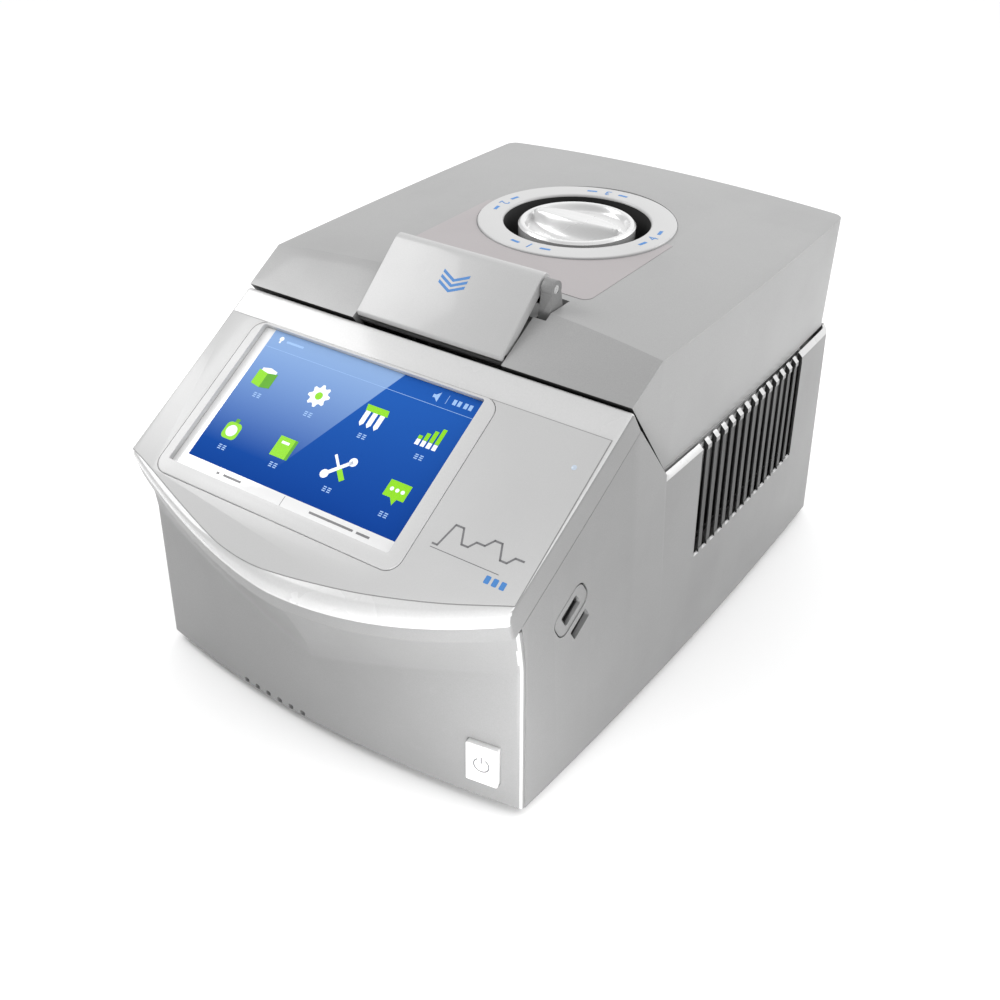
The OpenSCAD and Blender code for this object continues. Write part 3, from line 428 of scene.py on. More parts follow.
# FAR is beyond the machine on every side, for the ends of cutters
FAR = 200
HALF_W, BOW, FOOT_Z, WALL = 135.0, 4.78, 6.0, 3.0
SIDE_LEAN, BACK_LEAN, BACK_Y = 0.0184, 0.0384, 211.0
LEDGE_Z, LID_Z, LEDGE = 149.0, 153.2, 4.2
LID_FRONT_Y, SEAM_Y, SEAM_Z, CHEEK_GAP = -30.0, -74.7, 212.0, 3.6
SLOPE = math.radians(31.4)
FILM_Y, PANEL_Z, PANEL_T, SEAM_S = -91.2, 200.6, 17.0, -19.6
FRONT_Y, FRONT_BOW, LIP_SIDE_S, LIP_BOW = -169, 13.4, 104, 38
BOW_Y, BOW_SPAN = 20.8, 190.2
KNOB_Y = 84.3


def side_x(y, z):
    """Half width of the housing, bowed along y and leaning inwards with height."""
    return HALF_W + BOW * (1 - ((y - BOW_Y) / BOW_SPAN) ** 2) - SIDE_LEAN * (z - FOOT_Z)


def back_y(z):
    return BACK_Y - BACK_LEAN * (z - FOOT_Z)


def plan(z, inset, y0, steps=44):
    """Plan outline of the housing at height z, from the cut at y0 round the back."""
    yb = back_y(z) - inset
    r = max(7.0 - inset, 1.5)
    y1 = yb - r
    xc = side_x(y1, z) - inset - r
    along = [y0 + (y1 - y0) * k / steps for k in range(steps + 1)]
    right = [(side_x(y, z) - inset, y) for y in along]
    right += arc(xc, y1, r, 0, 90, 10)[1:]
    return [(x, y, z) for x, y in right] + [(-x, y, z) for x, y in reversed(right)]


def tapered(name, z0, z1, d0, d1, y0):
    """The housing's outline as a solid from z0 to z1, inset by d0 below and d1 above."""
    return loft(name, [plan(z0, d0, y0), plan(z1, d1, y0)])


def panel_pt(s, w):
    """Point of the panel's side view, s down its slope and w below its surface, as (y, z)."""
    return (FILM_Y - s * math.cos(SLOPE) + w * math.sin(SLOPE),
            PANEL_Z - s * math.sin(SLOPE) - w * math.cos(SLOPE))


def bulge(x):
    """Share of the front's bow at x: 1 in the middle, 0 at the sides."""
    return 1 - (x / HALF_W) ** 2


def lip_s(x):
    """The lip's edge runs straighter on its left side than on its right."""
    return LIP_SIDE_S + LIP_BOW * (1 - (abs(x) / HALF_W) ** (1.6 if x < 0 else 2.0))


def wall_y(x):
    return FRONT_Y - FRONT_BOW * bulge(x)


def chin_top(x):
    return panel_pt(lip_s(x) + 2.5, PANEL_T + 0.8)


def front_y(x, z):
    """Front surface: plain below the crease, flaring forwards to the lip above it."""
    crease = 58 + 44 * abs(x) / HALF_W
    top = chin_top(x)
    t = max(z - crease, 0) / (top[1] - crease)
    return wall_y(x) + (top[0] - wall_y(x)) * min(t, 1.0) ** 1.25


def cheek_y(z):
    """Slanted joint between the lid's cheeks and the housing."""
    return LID_FRONT_Y + (SEAM_Y - LID_FRONT_Y) * (z - LID_Z) / (SEAM_Z - LID_Z)


def corner_y(z):
    return front_y(HALF_W, min(z, chin_top(HALF_W)[1])) + WALL + 0.2


PANEL = Matrix.Translation((0, FILM_Y, PANEL_Z)) @ Matrix.Rotation(SLOPE, 4, "X")
SLOT_OF = {row["node"]: row["material_slot"] for row in frame["record"]["subparts"]}

# ---------------------------------------------------------------- side and back walls


def ledge_cutter(sx):
    """Takes away the wall above the sloping ledge that the lid's edge stands over."""
    rings = []
    for k in range(33):
        y = LID_FRONT_Y - CHEEK_GAP + 250 * k / 32
        x = side_x(y, LEDGE_Z)
        rings.append([(sx * (x + 0.5), y, LEDGE_Z - 0.5), (sx * (x + 20), y, LEDGE_Z - 0.5),
                      (sx * (x + 20), y, 170), (sx * (x - 21), y, 170)])
    return loft("ledge_cut", rings)


# Grille of each side: the skin left over its pocket, and its slots
GRILLE_SKIN, FIN_RECESS = 1.4, 0.6
SLOT_COUNT, SLOT_W, SLOT_FIRST_Y, SLOT_SPAN = 14, 6.2, 13.2, 139


def slot_cutter(sx, y):
    """Grille slot with a sill that slopes down to the outside."""
    inner, outer = 131.8, 146.0
    section = [(sx * inner, 76.5), (sx * outer, 70.0), (sx * outer, 175), (sx * inner, 175)]
    return loft("slot", [[(x, y + dy, z) for x, z in section] for dy in (-SLOT_W / 2, SLOT_W / 2)])


def side_boxes(x, y0, y1, z0):
    """A box over the grille of each side, x its middle."""
    half, z1 = 15, 146
    boxes = [box_mm("side", (sx * x - half, y0, z0), (sx * x + half, y1, z1)) for sx in (1, -1)]
    return merge("side_boxes", boxes)


USB = Matrix.Translation((0, -126.6, 116.3)) @ Matrix.Rotation(SLOPE, 4, "X")


def on_usb(k):
    return USB @ Matrix.Translation((0, 0, -16 * k)) @ Matrix.Rotation(math.radians(90), 4, "Z") \
        @ Matrix.Rotation(math.radians(90), 4, "X")


def usb_prism(name, k, x0, x1, w, h, r, lift=0.0):
    """Rounded block from x0 to x1 at the USB socket k, 0 the upper one and 1 the lower."""
    return place(prism(name, slab_ring(0, lift, w, h, r), x0, x1), on_usb(k))


def build_sides():
    body = tapered("housing_walls", FOOT_Z, FAR, 0, 0, -FAR)
    low = panel_pt(103, PANEL_T + 0.3)
    top = panel_pt(SEAM_S + 0.6, PANEL_T + 0.3)
    zs = [FOOT_Z + (low[1] - FOOT_Z) * k / 24 for k in range(25)]
    profile = [(corner_y(z), z) for z in zs] + [top]
    profile += [(LID_FRONT_Y - CHEEK_GAP, LID_Z), (BACK_Y + 1, LID_Z), (BACK_Y + 1, FOOT_Z)]
    keep(body, across("profile", -FAR, FAR, profile))
    cut(body, ledge_cutter(1), ledge_cutter(-1))
    clean(body)
    bevel(body, 0.45, 3, 24)
    cut(body, tapered("hollow", FOOT_Z - 1, FAR + 1, WALL, WALL, -FAR - 1))
    rim = tapered("rim", LID_Z - 3, LID_Z - 0.02, WALL + 1, WALL + 1, LID_FRONT_Y)
    cut(rim, tapered("rim_hole", LID_Z - 5, LID_Z + 2, 11, 11, -60))
    cut(rim, box_mm("rim_back", (-FAR, 160, 100), (FAR, 260, FAR)))
    pocket = tapered("grille_pocket", 60, 147, GRILLE_SKIN, GRILLE_SKIN, 0)
    keep(pocket, side_boxes(135, 6, 160, 71))
    cut(body, pocket)
    recess = side_boxes(140, 9.5, 155.9, 76)
    cut(recess, tapered("fin_faces", 60, 150, FIN_RECESS, FIN_RECESS, 0))
    cut(body, recess)
    for sx in (1, -1):
        for k in range(SLOT_COUNT):
            cut(body, slot_cutter(sx, SLOT_FIRST_Y + SLOT_SPAN / (SLOT_COUNT - 1) * k))
    cut(body, box_mm("rear_opening", (-108, 190, 24), (-22, 220, 60)))
    for k in range(10):
        cut(body, box_mm("vent", (24 + 8 * k, 195, 60), (28 + 8 * k, 220, 100)))
    cut(body, usb_prism("recess", 0, 100, 160, 30.4, 18.2, 6.6, 0.7))
    cut(body, usb_prism("mouth", 1, 100, 160, 16, 8, 1))
    return join(body, rim)


def along_grille(at):
    return 8 < at.y < 158


def in_slot(at, normal):
    """Walls of the grille slots and the slanted seam, painted near black as the shade inside them."""
    beside = abs(normal.y) > 0.9 and 72 < at.z < 152 and along_grille(at) and abs(at.x) > 128
    behind = abs(normal.x) > 0.9 and at.z > 150 and along_grille(at) and abs(at.x) < 132.5
    seam = normal.y > 0.35 and at.z > LEDGE_Z and abs(at.y - cheek_y(at.z) + CHEEK_GAP) < 0.6
    return beside or behind or seam


def on_fin(at, normal):
    """Outer faces of the fins between the slots, which are set back and painted darker as shade."""
    depth = side_x(at.y, at.z) - abs(at.x)
    return abs(normal.x) > 0.9 and 76 < at.z < 146 and 9 < at.y < 156.5 and 0.4 < depth < 0.9


def on_sill_highlight(at, normal):
    """Ledge under the lid's edge and the sloping sills of the grille, painted white as a highlight where they
    face the light.
    """
    ledge = normal.z > 0.25 and 147 < at.z < 171 and abs(at.x) > 116 and at.y > LID_FRONT_Y - 3
    return ledge or (normal.z > 0.25 and 70 < at.z < 75.9 and along_grille(at))


sides = finish_piece(build_sides(), "base", "housing_silver", stands_for=("main_housing",), smooth=26)
# Painted shade on the slot walls, the faces behind them and the seam's end face
paint_faces(sides, mat_painted_shade, in_slot)
# Painted shade on the fins' outer faces
paint_faces(sides, mat_fin_shade, on_fin)
# Painted highlight: the ledge and the grille's sills get the white rim material
paint_faces(sides, MATERIALS["panel_white"], on_sill_highlight)

# ---------------------------------------------------------------- front cover


def build_apron():
    """Front cover: a fine grid of the front surface, its free edges rolled back by a radius."""
    nx, nz, side_r, foot_r = 130, 84, 3.0, 1.2
    edge = [0.0, 0.1, 0.35, 0.8, 1.4, 2.1]
    span = HALF_W - 0.3
    inner = [-span + side_r + 2 * (span - side_r) * k / nx for k in range(nx + 1)]
    xs = [-span + e for e in edge] + inner + [span - e for e in reversed(edge)]
    roll = [0.0, 0.2, 0.6, foot_r]
    outer, back = [], []
    for j in range(nz + len(roll) - 1):
        row, row_back = [], []
        for x in xs:
            top = chin_top(x)[1]
            if j < len(roll) - 1:
                z = FOOT_Z + roll[j]
            else:
                z = FOOT_Z + foot_r + (top - FOOT_Z - foot_r) * (j - len(roll) + 1) / (nz - 1)
            wide = side_x(FRONT_Y, z) - 0.25
            at_x = x * wide / span
            from_side = (span - abs(x)) * wide / span
            back_off = max(rounding(from_side, side_r), rounding(z - FOOT_Z, foot_r))
            y = front_y(x, min(z, top))
            row.append((at_x, y + back_off, z))
            row_back.append((at_x, y + WALL + 0.12, z))
        outer.append(row)
        back.append(row_back)
    n, rows = len(xs), len(outer)
    verts = [p for row in outer for p in row] + [p for row in back for p in row]
    half = n * rows
    faces = []
    for j in range(rows - 1):
        for i in range(n - 1):
            p = j * n + i
            faces.append((p, p + 1, p + n + 1, p + n))
            faces.append((half + p, half + p + n, half + p + n + 1, half + p + 1))
        for i, s in ((0, 1), (n - 1, -1)):
            p = j * n + i
            side = (p, p + n, half + p + n, half + p)
            faces.append(side if s > 0 else tuple(reversed(side)))
    for i in range(n - 1):
        faces.append((i, half + i, half + i + 1, i + 1))
        p = (rows - 1) * n + i
        faces.append((p, p + 1, half + p + 1, half + p))
    body = mesh_object("front_apron", verts, faces)
    for k in range(6):
        ring = slab_ring(-59.7 + 9.5 * k, 8.6, 4.0, 3.2, 1.5)
        cut(body, loft("foot_slot", [[(x, y, z) for x, z in ring] for y in (-200, -160)]))
    ring = slab_ring(0, 0, 19.8, 27.8, 1.2)
    cut(body, place(prism("key_hole", ring, -20, 20), BUTTON))
    return body


def on_corner(at, normal):
    """Rounded upright edges of the cover, painted lighter as a highlight."""
    return 0.6 < abs(normal.x) < 0.9 and normal.y < -0.3 and abs(at.x) > 131


BUTTON_X, BUTTON_Z = 112.5, 33.3
BUTTON_TURN = math.atan(2 * FRONT_BOW * BUTTON_X / HALF_W ** 2)
BUTTON = Matrix.Translation((BUTTON_X, wall_y(BUTTON_X), BUTTON_Z)) \
    @ Matrix.Rotation(BUTTON_TURN, 4, "Z") @ Matrix.Rotation(math.radians(90), 4, "X")
apron = finish_piece(build_apron(), "base", "housing_silver", stands_for=("front_cover",), smooth=28)
# Painted highlight along the cover's rounded upright edges
paint_faces(apron, mat_edge_highlight, on_corner)


def build_button():
    ring = slab_ring(0, 0, 19, 27, 1.0)
    cap = bevel(prism("key_cap", ring, -5.2, 3.2), 0.55, 3, 50)
    stem = lathe("key_stem", [(0.01, -13), (2.5, -13), (2.5, -5.0), (0.01, -5.0)], 0, 0, 32)
    return merge("power_key", [place(cap, BUTTON), place(stem, BUTTON)])


def build_button_mark():
    """Standby sign: a broken ring with a bar, printed on the key."""
    outer = arc(0, 0, 5.0, 118, 422, 40)
    inner = arc(0, 0, 4.1, 422, 118, 40)
    ring_piece = prism("sign", outer + inner, 3.1, 3.32)
    bar = box_mm("bar", (-0.45, 1.2, 3.1), (0.45, 5.8, 3.32))
    return merge("power_sign", [place(ring_piece, BUTTON), place(bar, BUTTON)])


finish_piece(build_button(), "button", "button_white", stands_for=("power_button",))
finish_piece(build_button_mark(), "button", "grey_plastic", mat_ink_grey)


SPRING_BACK = -9.85


def build_spring():
    """Coil spring round the key's stem."""
    steps, turns, sides, coil_r, wire_r = 128, 4, 8, 4.4, 0.38
    rings = []
    for k in range(steps + 1):
        a = 2 * math.pi * turns * k / steps
        w = SPRING_BACK + 0.4 + 3.7 * k / steps
        section = arc(coil_r, w, wire_r, 0, 360, sides)[:-1]
        rings.append([(r * math.cos(a), r * math.sin(a), height) for r, height in section])
    return place(loft("key_spring", rings), BUTTON)


spring = finish_piece(build_spring(), "base", SLOT_OF["button_spring"], stands_for=("button_spring",),
                      smooth=60)
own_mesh(spring)

# ---------------------------------------------------------------- control panel


def panel_ring(w, d=0.0, steps=72):
    """Outline of the panel in its own plane, w below its surface, pulled in by d."""
    rear_r, side_r = 3.0, 2.6
    rear = -SEAM_S - d - rounding(w, rear_r)

    def side(y_up):
        y, z = panel_pt(-y_up, w)
        return side_x(y, z) - rounding(w, side_r) - d

    x = side(rear)
    pts = [(x - 2 * x * k / 8, rear) for k in range(9)]
    x_left = side(-100)
    front = []
    for k in range(steps + 1):
        x = -x_left + 2 * x_left * k / steps
        radius = 2.2 + 4.8 * smoothstep((x + 70) / 60)
        y = -(lip_s(max(-HALF_W, min(x, HALF_W))) + 0.28 * w - rounding(w, radius) - d)
        front.append((x, y))
    y0 = front[0][1]
    for k in range(1, 8):
        y = rear + (y0 - rear) * k / 8
        pts.append((-side(y), y))
    pts += front
    for k in range(7, 0, -1):
        y = rear + (y0 - rear) * k / 8
        pts.append((side(y), y))
    return [(x, y, -w) for x, y in pts]


# Middles of the display's frame and glass in the panel's plane, and the glass's height over it
BEZEL_AT, GLASS_AT, GLASS_W = (-23.3, -54.8), (-25, -51), -2.2


def bezel_ring(gap, r, steps=8):
    """Outline of the display's frame, grown by gap."""
    return slab_ring(*BEZEL_AT, 175.4 + 2 * gap, 109.6 + 2 * gap, r, steps)


def build_panel():
    depths = [0.0, 0.06, 0.2, 0.45, 0.8, 1.25, 1.8, 2.4, 3.1, 4.0, 5.0, 6.0, 7.0, 10.0]
    depths += [PANEL_T, PANEL_T + 4]
    body = loft("console_panel", [panel_ring(w) for w in depths])
    bevel(body, 1.6, 4, 46)
    cut(body, box_mm("below", (-FAR, -FAR, -60), (FAR, 100, -PANEL_T)))
    hollow = loft("panel_hollow", [panel_ring(WALL, 8.0), panel_ring(PANEL_T + 1, WALL)])
    cut(body, hollow)
    cut(body, prism("bezel_hole", bezel_ring(0.2, 9), -10, 10))
    return place(body, PANEL)


def shaded_side(at, normal):
    """The panel's moulding is painted darker silver down its sides and below the lip's rounding, as painted
    shade.
    """
    depth = (at.y - FILM_Y) * math.sin(SLOPE) - (at.z - PANEL_Z) * math.cos(SLOPE)
    return depth > 7.0 or (abs(normal.x) > 0.8 and depth > 0.5)


panel = finish_piece(build_panel(), "base", "panel_white", stands_for=("control_panel",), smooth=24)
# Painted shade: the panel's sides and the underside of its lip take the darker housing silver
paint_faces(panel, MATERIALS["housing_silver"], shaded_side)


# Edge of the film along the lip, as (x, distance down the slope)
FILM_EDGE = [(-132, 103.5), (-120, 107), (-76, 122), (-45, 131.5), (-28, 134.4), (-15, 135.2), (-5, 134.8),
             (20, 131.4), (55, 124.5), (95, 113), (132, 99)]
FILM_X = 132


def film_s(x):
    """Smooth curve through the points of FILM_EDGE."""
    last = len(FILM_EDGE) - 1
    k = max(i for i in range(last) if FILM_EDGE[i][0] <= x or i == 0)
    (x0, s0), (x1, s1) = FILM_EDGE[k], FILM_EDGE[k + 1]
    before, after = FILM_EDGE[max(k - 1, 0)], FILM_EDGE[min(k + 2, last)]
    m0 = (s1 - before[1]) / (x1 - before[0]) * (x1 - x0)
    m1 = (after[1] - s0) / (after[0] - x0) * (x1 - x0)
    t = (x - x0) / (x1 - x0)
    return (2 * t ** 3 - 3 * t ** 2 + 1) * s0 + (t ** 3 - 2 * t ** 2 + t) * m0 \
        + (3 * t ** 2 - 2 * t ** 3) * s1 + (t ** 3 - t ** 2) * m1


def film_ring(out=0.0):
    """Outline of the film, grown by out."""
    rear = [((FILM_X + out) * (1 - 2 * k / 10), out) for k in range(11)]
    xs = [2 * k / 90 - 1 for k in range(91)]
    return rear + [((FILM_X + out) * t, -film_s(FILM_X * t) - out) for t in xs]


def film_hole():
    return prism("film_hole", bezel_ring(0.4, 9.2), -10, 10)


def build_film():
    body = bevel(prism("panel_overlay", film_ring(), 0.0, 0.4), 0.18, 2, 50)
    return place(cut(body, film_hole()), PANEL)


finish_piece(build_film(), "base", "film_silver", stands_for=("panel_film",), smooth=30)


def build_film_edge():
    """Fine dark line round the film, a painted shadow where its edge meets the panel."""
    return place(cut(prism("overlay_edge", film_ring(0.5), -0.2, 0.08), film_hole()), PANEL)


# Painted shadow line round the film's edge
finish_piece(build_film_edge(), "base", "film_silver", mat_film_edge_shadow)


def build_bezel():
    body = bevel(prism("screen_frame", bezel_ring(0, 9, 12), -4.4, 0.9), 0.7, 4, 50)
    join(body, box_mm("flange", (-114, -107.6, -5.4), (67.4, -2.0, -4.2)))
    cut(body, prism("glass_seat", slab_ring(*GLASS_AT, 160, 99, 1.5), -3.4, 10))
    cut(body, prism("glass_window", slab_ring(*GLASS_AT, 154, 95, 1), -20, 10))
    return place(body, PANEL)


finish_piece(build_bezel(), "base", "bezel_white", stands_for=("display_bezel",), smooth=30)

glass = prism("screen_glass", slab_ring(*GLASS_AT, 159.6, 98.6, 1.4), -3.4, GLASS_W)
glass = place(bevel(glass, 0.15, 2, 50), PANEL)
finish_piece(glass, "base", "screen_glass", stands_for=("touch_glass",))

wall_ring = [(54.9, -1.7), (-97.4, -1.7), (-97.4, -92.6), (54.9, -92.6)]
wallpaper = prism("screen_wallpaper", wall_ring, GLASS_W, GLASS_W + 0.03)


finish_piece(place(wallpaper, PANEL), "base", "screen_glass", mat_screen)


def lit(objs, name, mat):
    return finish_piece(place(merge(name, objs), PANEL), "base", "screen_glass", mat)


def flat(ring, level=0.0):
    """Thin plate on the wallpaper, raised by level so that signs can overlap."""
    return prism("flat", ring, GLASS_W + 0.02 + level, GLASS_W + 0.07 + level)


def quad(x0, y0, x1, y1, level=0.0):
    return flat([(x0, y0), (x1, y0), (x1, y1), (x0, y1)], level)


def disc(cx, cy, r, level=0.0, steps=24):
    return flat(arc(cx, cy, r, 0, 360, steps)[:-1], level)


def bar_ring(x0, y0, x1, y1, w, longer=0.0):
    """Outline of a bar of width w, its ends drawn out by a share of its width."""
    dx, dy = x1 - x0, y1 - y0
    length = math.hypot(dx, dy)
    nx, ny = -dy / length * w / 2, dx / length * w / 2
    ex, ey = dx / length * w * longer, dy / length * w * longer
    return [(x0 + nx - ex, y0 + ny - ey), (x0 - nx - ex, y0 - ny - ey), (x1 - nx + ex, y1 - ny + ey),
            (x1 + nx + ex, y1 + ny + ey)]


def build_icons():
    green, dark, white, pale = [], [], [], []
    # Open book
    x, y = -83, -33
    white.append(flat([(x - 5.5, y + 6), (x, y + 7.2), (x + 5.5, y + 6), (x + 5.5, y + 3), (x - 5.5, y + 3)]))
    green.append(flat([(x - 7, y + 4.6), (x, y + 3.4), (x, y - 6.6), (x - 7, y - 5.4)], 0.05))
    dark.append(flat([(x, y + 3.4), (x + 7, y + 4.6), (x + 7, y - 5.4), (x, y - 6.6)], 0.05))
    # Gear
    x, y = -42.4, -31.7
    teeth = []
    for k in range(32):
        r = 7.4 if (k // 2) % 2 == 0 else 5.6
        a = 2 * math.pi * k / 32
        teeth.append((x + r * math.cos(a), y + r * math.sin(a)))
    white.append(flat(teeth))
    green.append(disc(x, y, 2.5, 0.05))
    # Rack of tubes
    x, y = -2.3, -32.7
    green.append(flat([(x - 8, y + 7), (x + 7, y + 7), (x + 8, y + 3), (x - 7, y + 3)], 0.05))
    for dx in (-5, 0, 5):
        white.append(flat([(x + dx - 1.6, y + 3), (x + dx + 1.6, y + 3), (x + dx + 1.6, y - 5),
                           (x + dx, y - 7), (x + dx - 1.6, y - 5)]))
    # Rising bars
    x, y = 36.7, -31.3
    for k in range(4):
        h = 6 + 2.6 * k
        x0 = x - 7 + 3.8 * k
        white.append(quad(x0, y - 7, x0 + 2.6, y - 3.4))
        green.append(quad(x0, y - 3.2, x0 + 2.6, y - 7 + h, 0.05))
    # Timer
    x, y = -80.7, -69.8
    green.append(flat(slab_ring(x, y - 0.5, 11, 11, 3), 0.0))
    dark.append(quad(x - 1.4, y + 5, x + 1.4, y + 7.6, 0.05))
    white.append(disc(x, y - 0.5, 3.7, 0.06))
    # Notebook
    x, y = -42, -68.1
    dark.append(quad(x - 5.5, y - 6.5, x + 6.3, y + 6.5))
    green.append(quad(x - 6.5, y - 6.5, x + 4.4, y + 6.5, 0.05))
    white.append(quad(x - 3.6, y + 2.2, x + 1.8, y + 3.8, 0.1))
    # Crossed tools
    x, y = -2.8, -66.9
    white.append(flat(bar_ring(x - 6.3, y - 6.0, x + 6.0, y + 6.0, 2.3)))
    white.append(disc(x + 6.0, y + 6.0, 2.7))
    white.append(disc(x - 6.3, y - 6.0, 2.7))
    white.append(flat(bar_ring(x - 6.6, y + 6.6, x, y, 1.6), 0.05))
    green.append(flat(bar_ring(x + 0.8, y - 0.8, x + 6.2, y - 6.2, 3.2), 0.05))
    # Speech bubble with three dots
    x, y = 37.2, -67.9
    green.append(flat([(x - 7, y + 6.5), (x + 7, y + 6.5), (x + 7, y - 3.5), (x + 2.6, y - 3.5),
                       (x + 1.6, y - 7.4), (x - 1.6, y - 3.5), (x - 7, y - 3.5)]))
    for dx in (-3.6, 0, 3.6):
        white.append(disc(x + dx, y + 1.5, 1.2, 0.06, 12))
    # Captions as plain strokes
    for x, y in ((-81, -44.6), (-42, -44.4), (-2.4, -45.1), (36.6, -44.6), (-80.1, -81.4), (-42.3, -79.6),
                 (-2.2, -80.8), (37.3, -81.6)):
        for dx in (-2.3, 0.9):
            pale.append(quad(x + dx, y + 0.9, x + dx + 2.2, y + 1.5))
            pale.append(quad(x + dx, y - 0.3, x + dx + 2.2, y + 0.3))
            pale.append(quad(x + dx, y - 1.5, x + dx + 2.2, y - 0.9))
    # Status line
    white.append(disc(-89.5, -6.0, 1.5))
    white.append(quad(-90.1, -9.0, -88.9, -7.2))
    pale.append(quad(-85.0, -7.6, -72.0, -6.2))
    pale.append(flat([(23.2, -6.8), (24.8, -6.8), (27.2, -4.6), (27.2, -11.0), (24.8, -8.8), (23.2, -8.8)]))
    pale.append(quad(32.6, -10.4, 32.9, -4.8))
    for dx in (0, 3.2, 7.4, 10.6):
        pale.append(quad(36.6 + dx, -9.4, 38.8 + dx, -6.0))
    pale.append(quad(-97.0, -13.45, 54.5, -13.2))
    return green, dark, white, pale


green, dark, white, pale = build_icons()
lit(green, "screen_icons_green", mat_green)
lit(dark, "screen_icons_dark", mat_green_dark)
lit(white, "screen_icons_white", mat_icon_white)
lit(pale, "screen_captions", mat_pale_blue)
strip = [quad(-72, -97.0, -70.0, -95.6), quad(-66.8, -96.9, -53.6, -95.5), quad(-3.2, -96.9, 27.2, -95.6),
         quad(29.6, -96.9, 38.4, -95.6), quad(-22.6, -100.0, -22.3, -93.4)]
lit(strip, "screen_strip_marks", mat_ink_grey)

# Foot of the print on the film, just inside the film's thickness
PRINT_W = 0.38


def build_sign():
    """Printed sign on the film: a stepped temperature curve over a line."""
    pts = [(74, -86), (77, -86), (80.5, -72.5), (85.5, -72.5), (89, -81), (93, -81), (96, -77), (101, -77),
           (104.5, -72.5), (109, -72.5), (112.5, -81), (116.5, -81), (119.5, -77), (124.5, -77)]
    parts = []
    for (x0, y0), (x1, y1) in zip(pts, pts[1:]):
        parts.append(prism("stroke", bar_ring(x0, y0, x1, y1, 1.1, 0.3), PRINT_W, 0.46))
    parts.append(prism("rule", [(73.8, -87.9), (116, -87.9), (116, -88.3), (73.8, -88.3)], PRINT_W, 0.44))
    return place(merge("panel_curve_sign", parts), PANEL)


finish_piece(build_sign(), "base", "film_silver", mat_ink_grey)
tabs = [prism("tab", slab_ring(112 + 4.6 * k, -92.6, 3.0, 4.4, 0.6), PRINT_W, 0.44) for k in range(3)]
finish_piece(place(merge("panel_blue_sign", tabs), PANEL), "base", "film_silver", mat_ink_blue)
LAMP_AT = (121.6, -20.8)
dome = [(0.01, 0.3), (1.5, 0.3), (1.5, 0.45), (1.2, 0.62), (0.01, 0.66)]
finish_piece(place(lathe("panel_lamp", dome, *LAMP_AT, 32), PANEL), "base", "bezel_white", mat_lamp)

# ---------------------------------------------------------------- lid

CROWN_R, TILT = 1820.0, math.atan(3 / 249)
CROWN_Y, CROWN_Z, CROWN_TOP = -46.4, 228, 233


def crown_solid(h, steps=60):
    """All below the lid's crowned top, lowered by h."""
    xs = [-150 + 300 * k / steps for k in range(steps + 1)]
    ring = [(150, -140), (-150, -140)] + [(x, math.sqrt(CROWN_R ** 2 - x * x) - CROWN_R) for x in xs]
    at = Matrix.Translation((0, CROWN_Y, CROWN_TOP - h)) @ Matrix.Rotation(math.pi / 2 + TILT, 4, "X")
    return place(prism("crown", ring, -300, 120), at)


LID_SLANT = math.atan((CROWN_Z - SEAM_Z) / (CROWN_Y - SEAM_Y))


def build_lid():
    grow = math.tan(LID_SLANT)
    top_y = CROWN_Y + 4 / grow
    body = tapered("lid_cover", LID_Z, 240, LEDGE, 0, -90)
    profile = [(SEAM_Y + 0.3, SEAM_Z + 0.2), (top_y + 30, 232 + 30 * grow),
               (back_y(240) + 2, 232 + 30 * grow), (back_y(172) + 2, 172), (back_y(172), 172),
               (200.8, LID_Z + 0.6), (LID_FRONT_Y, LID_Z + 0.6)]
    keep(body, across("lid_profile", -FAR, FAR, profile), crown_solid(0))
    clean(body)
    bevel(body, 1.7, 4, 20)
    hollow = tapered("lid_hollow", LID_Z - 1, 240, LEDGE + WALL, WALL, -90)
    in_y = SEAM_Y + WALL / math.sin(LID_SLANT)
    profile = [(in_y, SEAM_Z - 0.2), (in_y + 60, SEAM_Z - 0.2 + 60 * grow), (back_y(240) - WALL, 250),
               (back_y(172) - WALL, 172), (197.6, LID_Z - 1), (LID_FRONT_Y - 10, LID_Z - 1)]
    keep(hollow, across("hollow_profile", -FAR, FAR, profile), crown_solid(WALL))
    cut(body, hollow)
    cut(body, lathe("well_hole", [(0.01, 200), (50, 200), (50, 260), (0.01, 260)], 0, KNOB_Y, 128))
    cut(body, lathe("ring_seat", [(0.01, 232.4), (63.5, 232.4), (63.5, 260), (0.01, 260)], 0, KNOB_Y, 128))
    cut(body, box_mm("flap_opening", (-52.2, -90, 200), (52.2, -20, 260)))
    cut(body, box_mm("ear_opening", (0, -44, 200), (60.5, -20, 260)))
    for sx in (1, -1):
        cut(body, box_mm("arm_opening", (sx * 88 - 20, 180, 150), (sx * 88 + 20, 220, 180)))
    return clean(body)


def on_cheek(at, normal):
    """Slanted front edges of the lid, painted near black as the shade in the seam between them and the
    housing.
    """
    return normal.y < -0.5 and normal.z < -0.2


def on_shoulder(at, normal):
    """Rounded edges between the lid's top and its sides, painted lighter as a highlight."""
    return 0.38 < abs(normal.x) < 0.85 and normal.z > 0.3 and abs(at.x) > 125


lid = finish_piece(build_lid(), "lid", "lid_silver", stands_for=("lid_shell",), smooth=24)
# Painted shade on the lid's slanted front edges, so that the seam reads dark
paint_faces(lid, mat_painted_shade, on_cheek)
# Painted highlight along the lid's rounded top side edges
paint_faces(lid, mat_edge_highlight, on_shoulder)

# ---------------------------------------------------------------- flap

PIN_AT = (-32.5, 243.5)
FLAP_FOOT, FLAP_HEAD = (-72.1, 215.7), (-37.3, 246.7)


